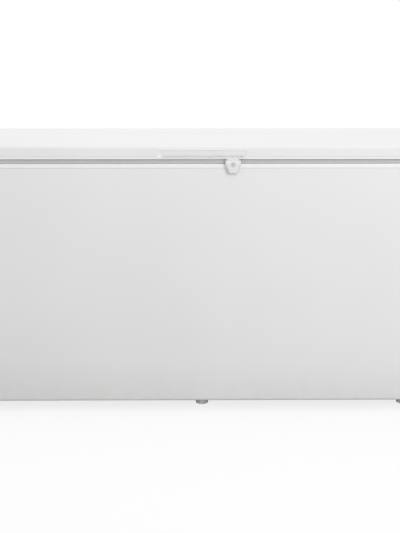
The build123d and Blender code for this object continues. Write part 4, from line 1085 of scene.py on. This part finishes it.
mouth_loops = [mouth_loop(inset, height) for inset, height in mouth_section]
mouth_frame = plain_object("mouth_frame", skin(mouth_loops, closed=True))
piece(mouth_frame, "cabinet", "white_plastic", "top_frame", sharp=46.0)

# %% [markdown]
# ## The tank
# The tank is folded from thin embossed aluminium, with a step at the right over the cooling unit.
# Its upright corners and floor edges are rolled, and the step's nose is folded more tightly. A
# block in the tank's shape gets its edges rolled, loses its top, and Solidify adds the sheet on
# the outside.

# %% Tank's block
STEP_X = 466.0 * MM
STEP_Z = 395.0 * MM
tank_low, tank_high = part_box("inner_liner")
left_x, right_x = tank_low.x + SHEET, tank_high.x - SHEET
floor_z = tank_low.z + SHEET
tank_outline = [
    (left_x, tank_high.z), (left_x, floor_z), (STEP_X, floor_z),
    (STEP_X, STEP_Z), (right_x, STEP_Z), (right_x, tank_high.z),
]
tank_bm = bmesh.new()
front_row = [tank_bm.verts.new((x, tank_low.y + SHEET, z)) for x, z in tank_outline]
back_row = [tank_bm.verts.new((x, tank_high.y - SHEET, z)) for x, z in tank_outline]
tank_bm.faces.new(front_row)
tank_bm.faces.new(list(reversed(back_row)))
for index in range(len(front_row)):
    after = (index + 1) % len(front_row)
    tank_bm.faces.new((front_row[after], front_row[index], back_row[index], back_row[after]))
bmesh.ops.recalc_face_normals(tank_bm, faces=tank_bm.faces)
print("tank", [round((high - low) / MM) for low, high in zip(tank_low, tank_high)], "mm")

# %% Tank's folds
TANK_CORNER = 16.0 * MM
TANK_FOLD = 7.0 * MM
NOSE_FOLD = 2.0 * MM
TANK_SHEET = 0.9 * MM
NEAR = 1e-5


def is_corner(edge):
    """True for an upright edge at one of the tank's ends."""
    first, second = (vert.co for vert in edge.verts)
    upright = abs(first.x - second.x) < NEAR and abs(first.y - second.y) < NEAR
    return upright and abs(abs(first.x) - right_x) < NEAR


def is_nose(edge):
    """True for the outward edge of the step."""
    return all(abs(vert.co.x - STEP_X) + abs(vert.co.z - STEP_Z) < NEAR for vert in edge.verts)


def is_folded(edge, degrees):
    """True where two faces meet at more than an angle."""
    return len(edge.link_faces) == 2 and edge.calc_face_angle(0.0) > math.radians(degrees)


roll_edges(tank_bm, [edge for edge in tank_bm.edges if is_corner(edge)], TANK_CORNER, 8)
top_face = [face for face in tank_bm.faces if face.calc_center_median().z > tank_high.z - NEAR]
bmesh.ops.delete(tank_bm, geom=top_face, context="FACES_ONLY")
hollow = [edge for edge in tank_bm.edges if is_folded(edge, 40.0) and not is_nose(edge)]
roll_edges(tank_bm, hollow, TANK_FOLD, 5)
roll_edges(tank_bm, [edge for edge in tank_bm.edges if is_nose(edge)], NOSE_FOLD, 4)
bmesh.ops.reverse_faces(tank_bm, faces=tank_bm.faces)
tank_liner = plain_object("tank_liner", tank_bm)
thicken(tank_liner, TANK_SHEET)
drain_x, drain_y, _ = centre_of("drain_plug")
drain = round_bar(DRAIN_HOLE, 30.0 * MM, (drain_x, drain_y, tank_low.z))
carve(tank_liner, drain_hole=drain)
piece(tank_liner, "cabinet", "liner_aluminium", "inner_liner")

# %% [markdown]
# ## Geometry Nodes for what repeats
# Wires, springs, screws and feet are one shape many times over, or a section along a path, so
# node trees make them. Each tree has named inputs for its sizes. The result is turned into a
# plain mesh at once, and the seed object with its modifier is removed.


# %% Tree helpers
def new_tree(name, **inputs):
    """A geometry tree with named inputs; returns the tree, its inputs and its output node."""
    tree = bpy.data.node_groups.new(name, "GeometryNodeTree")
    for label, kind in inputs.items():
        label = label.replace("_", " ")
        tree.interface.new_socket(label, in_out="INPUT", socket_type="NodeSocket" + kind)
    tree.interface.new_socket("Geometry", in_out="OUTPUT", socket_type="NodeSocketGeometry")
    return tree, tree.nodes.new("NodeGroupInput").outputs, tree.nodes.new("NodeGroupOutput")


def swept(tree, path, radius, points):
    """A round section carried along a path, with its ends closed."""
    section = add(tree, "GeometryNodeCurvePrimitiveCircle", Resolution=points, Radius=radius)
    return add(tree, "GeometryNodeCurveToMesh", Curve=path, Profile_Curve=section.outputs[0], Fill_Caps=True)


def close_tree(tree, geometry, finish, group_out):
    """Ends a tree with real geometry, smooth faces and its finish."""
    real = add(tree, "GeometryNodeRealizeInstances", Geometry=geometry)
    smooth = add(tree, "GeometryNodeSetShadeSmooth", Geometry=real.outputs[0])
    painted = add(tree, "GeometryNodeSetMaterial", Geometry=smooth.outputs[0], Material=finish)
    tree.links.new(painted.outputs[0], group_out.inputs[0])


def grow(tree, name, seed_mesh=None, **values):
    """Runs a tree with the given inputs and returns its result as a plain mesh."""
    seed = bpy.data.objects.new(name + "_seed", seed_mesh or bpy.data.meshes.new(name + "_seed"))
    scene.collection.objects.link(seed)
    maker = seed.modifiers.new("make", "NODES")
    maker.node_group = tree
    for item in tree.interface.items_tree:
        if item.item_type == "SOCKET" and item.in_out == "INPUT":
            label = item.name.replace(" ", "_")
            if label in values:
                maker[item.identifier] = values[label]
    mesh = evaluated_mesh(seed)
    bpy.data.objects.remove(seed)
    return mesh


def grown_piece(name, meshes, body, slot, *replaced):
    """One piece from meshes that trees made."""
    whole = bmesh.new()
    for mesh in meshes:
        whole.from_mesh(mesh)
    piece(plain_object(name, whole), body, slot, *replaced, sharp=50.0)


# %% [markdown]
# ## The baskets
# Each basket is welded from round coated wire: a thick rim whose long bars reach out over the
# ledges, wires that run down one side, across the floor and up the other, and hoops round the
# walls. One tree takes a path, rounds its corners, gives it a round section and repeats it.

# %% Wire tree
wires, wires_in, wires_out = new_tree(
    "bent_wires", Path="Object", Wire_radius="Float", Bend_radius="Float", Count="Int", Step="Vector",
    Finish="Material")
path_info = add(wires, "GeometryNodeObjectInfo", Object=wires_in["Path"])
rounded = add(wires, "GeometryNodeFilletCurve", "POLY", Curve=path_info.outputs["Geometry"], Count=5,
              Radius=wires_in["Bend radius"], Limit_Radius=True)
one_wire = swept(wires, rounded.outputs[0], wires_in["Wire radius"], 10)
places = add(wires, "GeometryNodeMeshLine", Count=wires_in["Count"], Offset=wires_in["Step"])
row = add(wires, "GeometryNodeInstanceOnPoints", Points=places.outputs[0], Instance=one_wire.outputs[0])
close_tree(wires, row.outputs[0], wires_in["Finish"], wires_out)


def path_object(points, cyclic):
    """A straight-run curve through points, for a tree to round."""
    curve = bpy.data.curves.new("path", "CURVE")
    curve.dimensions = "3D"
    spline = curve.splines.new("POLY")
    spline.points.add(len(points) - 1)
    for point, place in zip(spline.points, points):
        point.co = (*place, 1.0)
    spline.use_cyclic_u = cyclic
    made = bpy.data.objects.new("path", curve)
    scene.collection.objects.link(made)
    return made


def wire_row(points, radius, bend_radius, count=1, step=(0.0, 0.0, 0.0), cyclic=False):
    """A mesh of equal wires in a row."""
    path = path_object(points, cyclic)
    mesh = grow(wires, "wire", Path=path, Wire_radius=radius, Bend_radius=bend_radius, Count=count,
                Step=step, Finish=finishes["coated_wire"])
    bpy.data.objects.remove(path)
    return mesh


print("wire tree", len(wires.nodes), "nodes")

# %% Baskets
RIM_WIRE = 3.0 * MM
THIN_WIRE = 1.7 * MM
HOOK_OUT = 23.3 * MM
END_IN = 5.2 * MM
TAPER = 10.0 * MM
WIRE_BEND = 14.0 * MM
HOOP_BEND = 10.0 * MM
CROSS_WIRES = 13
LONG_WIRES = 5
HOOP_SHARES = (0.36, 0.70)
RIM_INSIDE = RIM_WIRE - 0.5 * MM
LONG_LIFT = 2.0 * THIN_WIRE - 0.4 * MM


def weld_basket(side):
    """One basket: four rim bars, cross wires, long wires and hoops."""
    low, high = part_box("basket_" + side)
    centre = (low.x + high.x) / 2
    half = (high.x - low.x) / 2 - END_IN
    left, right = centre - half, centre + half
    front, rear = low.y + HOOK_OUT, high.y - HOOK_OUT
    rim_z = high.z - RIM_WIRE
    floor_z = low.z + THIN_WIRE
    made = []
    for x in (left, right):
        made.append(wire_row([(x, low.y, rim_z), (x, high.y, rim_z)], RIM_WIRE, 0.0))
    for y in (front, rear):
        made.append(wire_row([(left, y, rim_z), (right, y, rim_z)], RIM_WIRE, 0.0))
    pitch = (rear - front) / (CROSS_WIRES + 1)
    y = front + pitch
    cross = [(left + RIM_INSIDE, y, rim_z), (left + TAPER, y, floor_z),
             (right - TAPER, y, floor_z), (right - RIM_INSIDE, y, rim_z)]
    made.append(wire_row(cross, THIN_WIRE, WIRE_BEND, CROSS_WIRES, (0.0, pitch, 0.0)))
    gap = (right - left - 4.0 * TAPER) / (LONG_WIRES - 1)
    x = left + 2.0 * TAPER
    long = [(x, front + RIM_INSIDE, rim_z), (x, front + TAPER, floor_z + LONG_LIFT),
            (x, rear - TAPER, floor_z + LONG_LIFT), (x, rear - RIM_INSIDE, rim_z)]
    made.append(wire_row(long, THIN_WIRE, WIRE_BEND, LONG_WIRES, (gap, 0.0, 0.0)))
    for share in HOOP_SHARES:
        z = floor_z + (rim_z - floor_z) * share
        slope = TAPER + (RIM_INSIDE - TAPER) * share - LONG_LIFT + 0.6 * MM
        hoop = [(left + slope, front + slope, z), (right - slope, front + slope, z),
                (right - slope, rear - slope, z), (left + slope, rear - slope, z)]
        made.append(wire_row(hoop, THIN_WIRE, HOOP_BEND, cyclic=True))
    grown_piece("wire_basket_" + side, made, side + "_basket", "coated_wire", "basket_" + side)


SIDES = ("left", "right")
for side in SIDES:
    weld_basket(side)

# %% [markdown]
# ## The hinge springs
# A torsion spring winds round each hinge pin and carries most of the lid's weight. The Spiral
# node winds the turns; the tree lays them along the pin. A plain tube would do at a distance,
# but the back of the freezer is looked at too.

# %% Spring tree
SPRING_WIRE = 1.5 * MM
SPRING_TURNS = 16.0
coils, coils_in, coils_out = new_tree(
    "torsion_spring", Turns="Float", Coil_radius="Float", Wire_radius="Float", Length="Float",
    Start="Vector", Finish="Material")
spiral = add(coils, "GeometryNodeCurveSpiral", Resolution=24, Rotations=coils_in["Turns"],
             Start_Radius=coils_in["Coil radius"], End_Radius=coils_in["Coil radius"],
             Height=coils_in["Length"])
laid = add(coils, "GeometryNodeTransform", Geometry=spiral.outputs[0], Translation=coils_in["Start"],
           Rotation=(0.0, math.pi / 2, 0.0))
spring_wire = swept(coils, laid.outputs[0], coils_in["Wire radius"], 8)
close_tree(coils, spring_wire.outputs[0], coils_in["Finish"], coils_out)
for side in SIDES:
    low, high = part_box("hinge_spring_" + side)
    middle = (low + high) / 2
    spring = grow(
        coils, "spring", Turns=SPRING_TURNS, Coil_radius=(high.z - low.z) / 2 - SPRING_WIRE,
        Wire_radius=SPRING_WIRE, Length=high.x - low.x - 2.0 * SPRING_WIRE,
        Start=(low.x + SPRING_WIRE, middle.y, middle.z), Finish=finishes["zinc_steel"])
    grown_piece("torsion_spring_" + side, [spring], "cabinet", "zinc_steel", "hinge_spring_" + side)

# %% [markdown]
# ## The feet
# Six moulded feet carry the cabinet. Each is a skirt with a ribbed side and a rounded lower edge.
# One foot is turned from a section, and a tree sets it on the six places.

# %% Feet
FOOT = 20.0 * MM
FOOT_PROFILE = (
    (1.2, 6.0), (1.0, 13.0), (0.0, 14.5), (0.0, 17.5), (0.8, 19.2), (2.6, 20.0), (6.0, 20.0),
    (6.6, 19.4, 0.5), (22.0, 18.6, 0.5), (25.0, 18.2), (26.0, 19.0),
)
ORIGIN = (0.0, 0.0, 0.0)
feet_low, feet_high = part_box("feet")
foot_profile = [[value * MM for value in point] for point in FOOT_PROFILE]
foot_profile += [(feet_high.z - 0.5 * MM, 19.0 * MM), (feet_high.z, 18.0 * MM)]
foot_shape = plain_object("foot_shape", turned(foot_profile, "Z", ORIGIN, 48, ribs=(0.0, 1.0)))
stand, stand_in, stand_out = new_tree(
    "feet_on_points", Geometry="Geometry", Foot="Object", Finish="Material")
foot_info = add(stand, "GeometryNodeObjectInfo", Object=stand_in["Foot"])
stood = add(stand, "GeometryNodeInstanceOnPoints", Points=stand_in["Geometry"],
            Instance=foot_info.outputs["Geometry"])
close_tree(stand, stood.outputs[0], stand_in["Finish"], stand_out)
foot_places = bpy.data.meshes.new("foot_places")
foot_rows = (feet_low.y + FOOT, feet_high.y - FOOT)
foot_columns = (feet_low.x + FOOT, 0.0, feet_high.x - FOOT)
foot_places.from_pydata([(x, y, 0.0) for x in foot_columns for y in foot_rows], [], [])
feet_mesh = grow(stand, "feet", foot_places, Foot=foot_shape, Finish=finishes["foot_plastic"])
bpy.data.objects.remove(foot_shape)
grown_piece("levelling_feet", [feet_mesh], "cabinet", "foot_plastic", "feet")

# %% [markdown]
# ## Pressed and moulded small parts
# Hinges, covers, the grille and the drain's stoppers already have the right shape in the packed
# model, but their edges are knife sharp, and a real edge always catches a line of light. A copy
# of each mesh is merged, its flat faces are joined, and its sharp edges get a narrow bevel.


# %% Bevelled copies
def soften(node, width, body, steps=2):
    """A copy of a node with narrow rolled edges, in the node's place."""
    bm = bmesh.new()
    bm.from_mesh(nodes[node].data)
    bmesh.ops.remove_doubles(bm, verts=bm.verts, dist=MERGE)
    bmesh.ops.dissolve_limit(bm, angle_limit=math.radians(1.0), verts=bm.verts, edges=bm.edges)
    roll_edges(bm, [edge for edge in bm.edges if is_folded(edge, 35.0)], width * MM, steps)
    piece(plain_object(node + "_soft", bm), body, slot_of[node], node, sharp=35.0)


CABINET_EDGES = {
    "back_panel": 0.4, "compartment_cover": 0.35, "vent_grille": 0.5, "lock_keeper": 0.4,
    "terminal_cover": 1.2, "thermostat": 0.8, "pilot_lamps": 0.5, "compressor_tray": 0.4,
    "hinge_bracket_left": 0.6, "hinge_bracket_right": 0.6, "hinge_pin_left": 0.4, "hinge_pin_right": 0.4,
}
for node_name, width in CABINET_EDGES.items():
    soften(node_name, width, "cabinet")
for side in SIDES:
    soften("hinge_leaf_" + side, 0.6, "lid")
soften("lock_cam", 0.3, "lock")
soften("drain_plug", 0.6, "floor_plug", 3)
soften("drain_cap", 0.6, "outlet_cap", 3)

# %% [markdown]
# ## The thermostat's knob
# The knob sits in a cup in the side grille, turned by hand: a ribbed rim, a slightly hollow face
# and a raised pointer. The ribs come from pulling two of every four points of the turned section
# in, which is lighter than cutting grooves and keeps the rim's edges round.

# %% Knob
KNOB_RIB = 0.9 * MM
KNOB_PROFILE = (
    (14.0, 4.0, 0.0), (13.6, 0.6, 0.0), (12.6, 0.0, 0.0), (12.0, 0.1, 1.0), (3.0, 1.0, 1.0),
    (1.4, 1.8, 0.4), (0.7, 3.0, 0.0), (0.8, 4.2, 0.0), (1.6, 8.0, 0.0),
)
POINTER_HALF = 1.1 * MM
knob_low, knob_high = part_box("thermostat_knob")
knob_centre = centre_of("thermostat_knob")
knob_size = (knob_high.z - knob_low.z) / 2
knob_face = knob_high.x
knob_profile = [(knob_low.x, 2.6 * MM), (knob_face - 14.5 * MM, 2.8 * MM)]
for behind, inset, rib in KNOB_PROFILE:
    knob_profile.append((knob_face - behind * MM, knob_size - inset * MM, rib * KNOB_RIB))
knob_profile.append((knob_face - 2.0 * MM, 3.0 * MM))
knob_bm = turned(knob_profile, "X", knob_centre, 96, ribs=(1.0, 1.0, 0.0, 0.0))
_, knob_y, knob_z = knob_centre
pointer = block(
    (knob_face - 3.0 * MM, knob_y - POINTER_HALF, knob_z + 5.0 * MM),
    (knob_face, knob_y + POINTER_HALF, knob_z + 17.0 * MM), 0.5 * MM)
control_knob = plain_object("control_knob", merge(knob_bm, pointer))
piece(control_knob, "knob", "grille_plastic", "thermostat_knob", sharp=40.0)

# %% [markdown]
# ## The compressor
# The shell is two deep-drawn steel cups welded at a rim, on a flat leg plate. It shows through
# the rear cover's slots. It is turned from a section with a domed top.

# %% Compressor
LEG_PLATE = 4.0 * MM
LEG_HALF = 60.0 * MM
SEAM_SHARE = 0.58
DOME_WIDTH = 0.955
DOME_START = 16.0 * MM
DOME_SPREAD = 4.0 * MM
DOME_TURN = 80.0
unit_low, unit_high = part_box("compressor")
unit_centre = centre_of("compressor")
unit_radius = (unit_high.y - unit_low.y) / 2
can_low = unit_low.z + LEG_PLATE - 0.5 * MM
seam = can_low + SEAM_SHARE * (unit_high.z - can_low)
can = [
    (can_low, unit_radius * 0.80), (can_low + 5.0 * MM, unit_radius * 0.93),
    (can_low + 14.0 * MM, unit_radius * 0.965), (seam - 4.0 * MM, unit_radius * 0.965),
    (seam - 3.0 * MM, unit_radius - 0.3 * MM), (seam - 2.0 * MM, unit_radius),
    (seam + 2.0 * MM, unit_radius), (seam + 3.0 * MM, unit_radius - 0.3 * MM),
    (seam + 4.0 * MM, unit_radius * DOME_WIDTH),
]
dome_low = seam + DOME_START
dome_rise = (unit_high.z - dome_low) / math.sin(math.radians(DOME_TURN))
for step in range(9):
    turn = math.radians(DOME_TURN * step / 8)
    radius = unit_radius * DOME_WIDTH * math.cos(turn) + DOME_SPREAD
    can.append((dome_low + dome_rise * math.sin(turn), radius))
can_bm = turned(can, "Z", unit_centre, 64)
legs = block(
    (unit_low.x, unit_centre[1] - LEG_HALF, unit_low.z),
    (unit_high.x, unit_centre[1] + LEG_HALF, unit_low.z + LEG_PLATE), 1.0 * MM)
compressor_shell = plain_object("compressor_shell", merge(can_bm, legs))
piece(compressor_shell, "cabinet", "black_enamel", "compressor", sharp=40.0)

# %% [markdown]
# ## Screws
# Sheet-metal screws hold the hinges, the rear cover and the grille. One pan head with a cross
# recess is a small mesh; a tree sets it on a list of places and turns it to each one's own
# direction, which travels with the points as an attribute.

# %% Screw tree
screws, screws_in, screws_out = new_tree(
    "screws_on_points", Geometry="Geometry", Screw="Object", Size="Float", Finish="Material")
screw_info = add(screws, "GeometryNodeObjectInfo", Object=screws_in["Screw"])
facing = add(screws, "GeometryNodeInputNamedAttribute", Name="facing")
facing.data_type = "FLOAT_VECTOR"
lean = add(screws, "FunctionNodeAlignRotationToVector", Vector=facing.outputs["Attribute"])
lean.axis = "Z"
seated = add(screws, "GeometryNodeInstanceOnPoints", Points=screws_in["Geometry"],
             Instance=screw_info.outputs["Geometry"], Rotation=lean.outputs["Rotation"],
             Scale=screws_in["Size"])
close_tree(screws, seated.outputs[0], screws_in["Finish"], screws_out)

SCREW_HEAD = ((-0.4, 4.2), (0.3, 4.2), (0.9, 3.9), (1.4, 3.2), (1.7, 2.0), (1.78, 0.8))
CROSS_LONG = 2.4 * MM
CROSS_THIN = 0.45 * MM
CROSS_LOW, CROSS_HIGH = 0.8 * MM, 4.0 * MM
head_profile = [(height * MM, radius * MM) for height, radius in SCREW_HEAD]
screw_shape = plain_object("screw_shape", turned(head_profile, "Z", ORIGIN, 20))
carve(
    screw_shape,
    cross_a=block((-CROSS_LONG, -CROSS_THIN, CROSS_LOW), (CROSS_LONG, CROSS_THIN, CROSS_HIGH)),
    cross_b=block((-CROSS_THIN, -CROSS_LONG, CROSS_LOW), (CROSS_THIN, CROSS_LONG, CROSS_HIGH)),
)
print("screw faces", len(screw_shape.data.polygons))


# %% Screws
def screw_group(name, body, places, facing_to, size=1.0):
    """Screws at places that all face one way, as one piece."""
    points = bpy.data.meshes.new(name)
    points.from_pydata(places, [], [])
    direction = points.attributes.new("facing", "FLOAT_VECTOR", "POINT")
    for entry in direction.data:
        entry.vector = facing_to
    mesh = grow(screws, name, points, Screw=screw_shape, Size=size, Finish=finishes["zinc_steel"])
    grown_piece(name, [mesh], body, "zinc_steel")


BACKWARDS = (0.0, 1.0, 0.0)
SIDEWAYS = (1.0, 0.0, 0.0)
PLATE = 2.5 * MM
BRACKET_ASIDE = 22.0 * MM
BRACKET_HEIGHTS = (12.0 * MM, 52.0 * MM)
LEAF_ASIDE = 18.0 * MM
LEAF_DOWN = 7.0 * MM
COVER_INSET = 7.0 * MM
GRILLE_INSET = 9.0 * MM
bracket_places, leaf_places = [], []
for side in SIDES:
    low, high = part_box("hinge_bracket_" + side)
    middle = (low.x + high.x) / 2
    for x in (middle - BRACKET_ASIDE, middle + BRACKET_ASIDE):
        bracket_places += [(x, low.y + PLATE, low.z + up) for up in BRACKET_HEIGHTS]
    low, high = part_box("hinge_leaf_" + side)
    for x in (middle - LEAF_ASIDE, middle + LEAF_ASIDE):
        leaf_places.append((x, low.y + PLATE, high.z - LEAF_DOWN))
low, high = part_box("compartment_cover")
cover_columns = (low.x + COVER_INSET, high.x - COVER_INSET)
cover_rows = (low.z + COVER_INSET, (low.z + high.z) / 2, high.z - COVER_INSET)
cover_places = [(x, high.y, z) for x in cover_columns for z in cover_rows]
grille_columns = (grille_low.y + GRILLE_INSET, grille_high.y - GRILLE_INSET)
grille_rows = (grille_low.z + GRILLE_INSET, grille_high.z - GRILLE_INSET)
grille_places = [(grille_high.x - 0.1 * MM, y, z) for y in grille_columns for z in grille_rows]
screw_group("bracket_screws", "cabinet", bracket_places, BACKWARDS)
screw_group("leaf_screws", "lid", leaf_places, BACKWARDS)
screw_group("cover_screws", "cabinet", cover_places, BACKWARDS, 0.9)
screw_group("grille_screws", "cabinet", grille_places, SIDEWAYS, 0.85)
bpy.data.objects.remove(screw_shape)
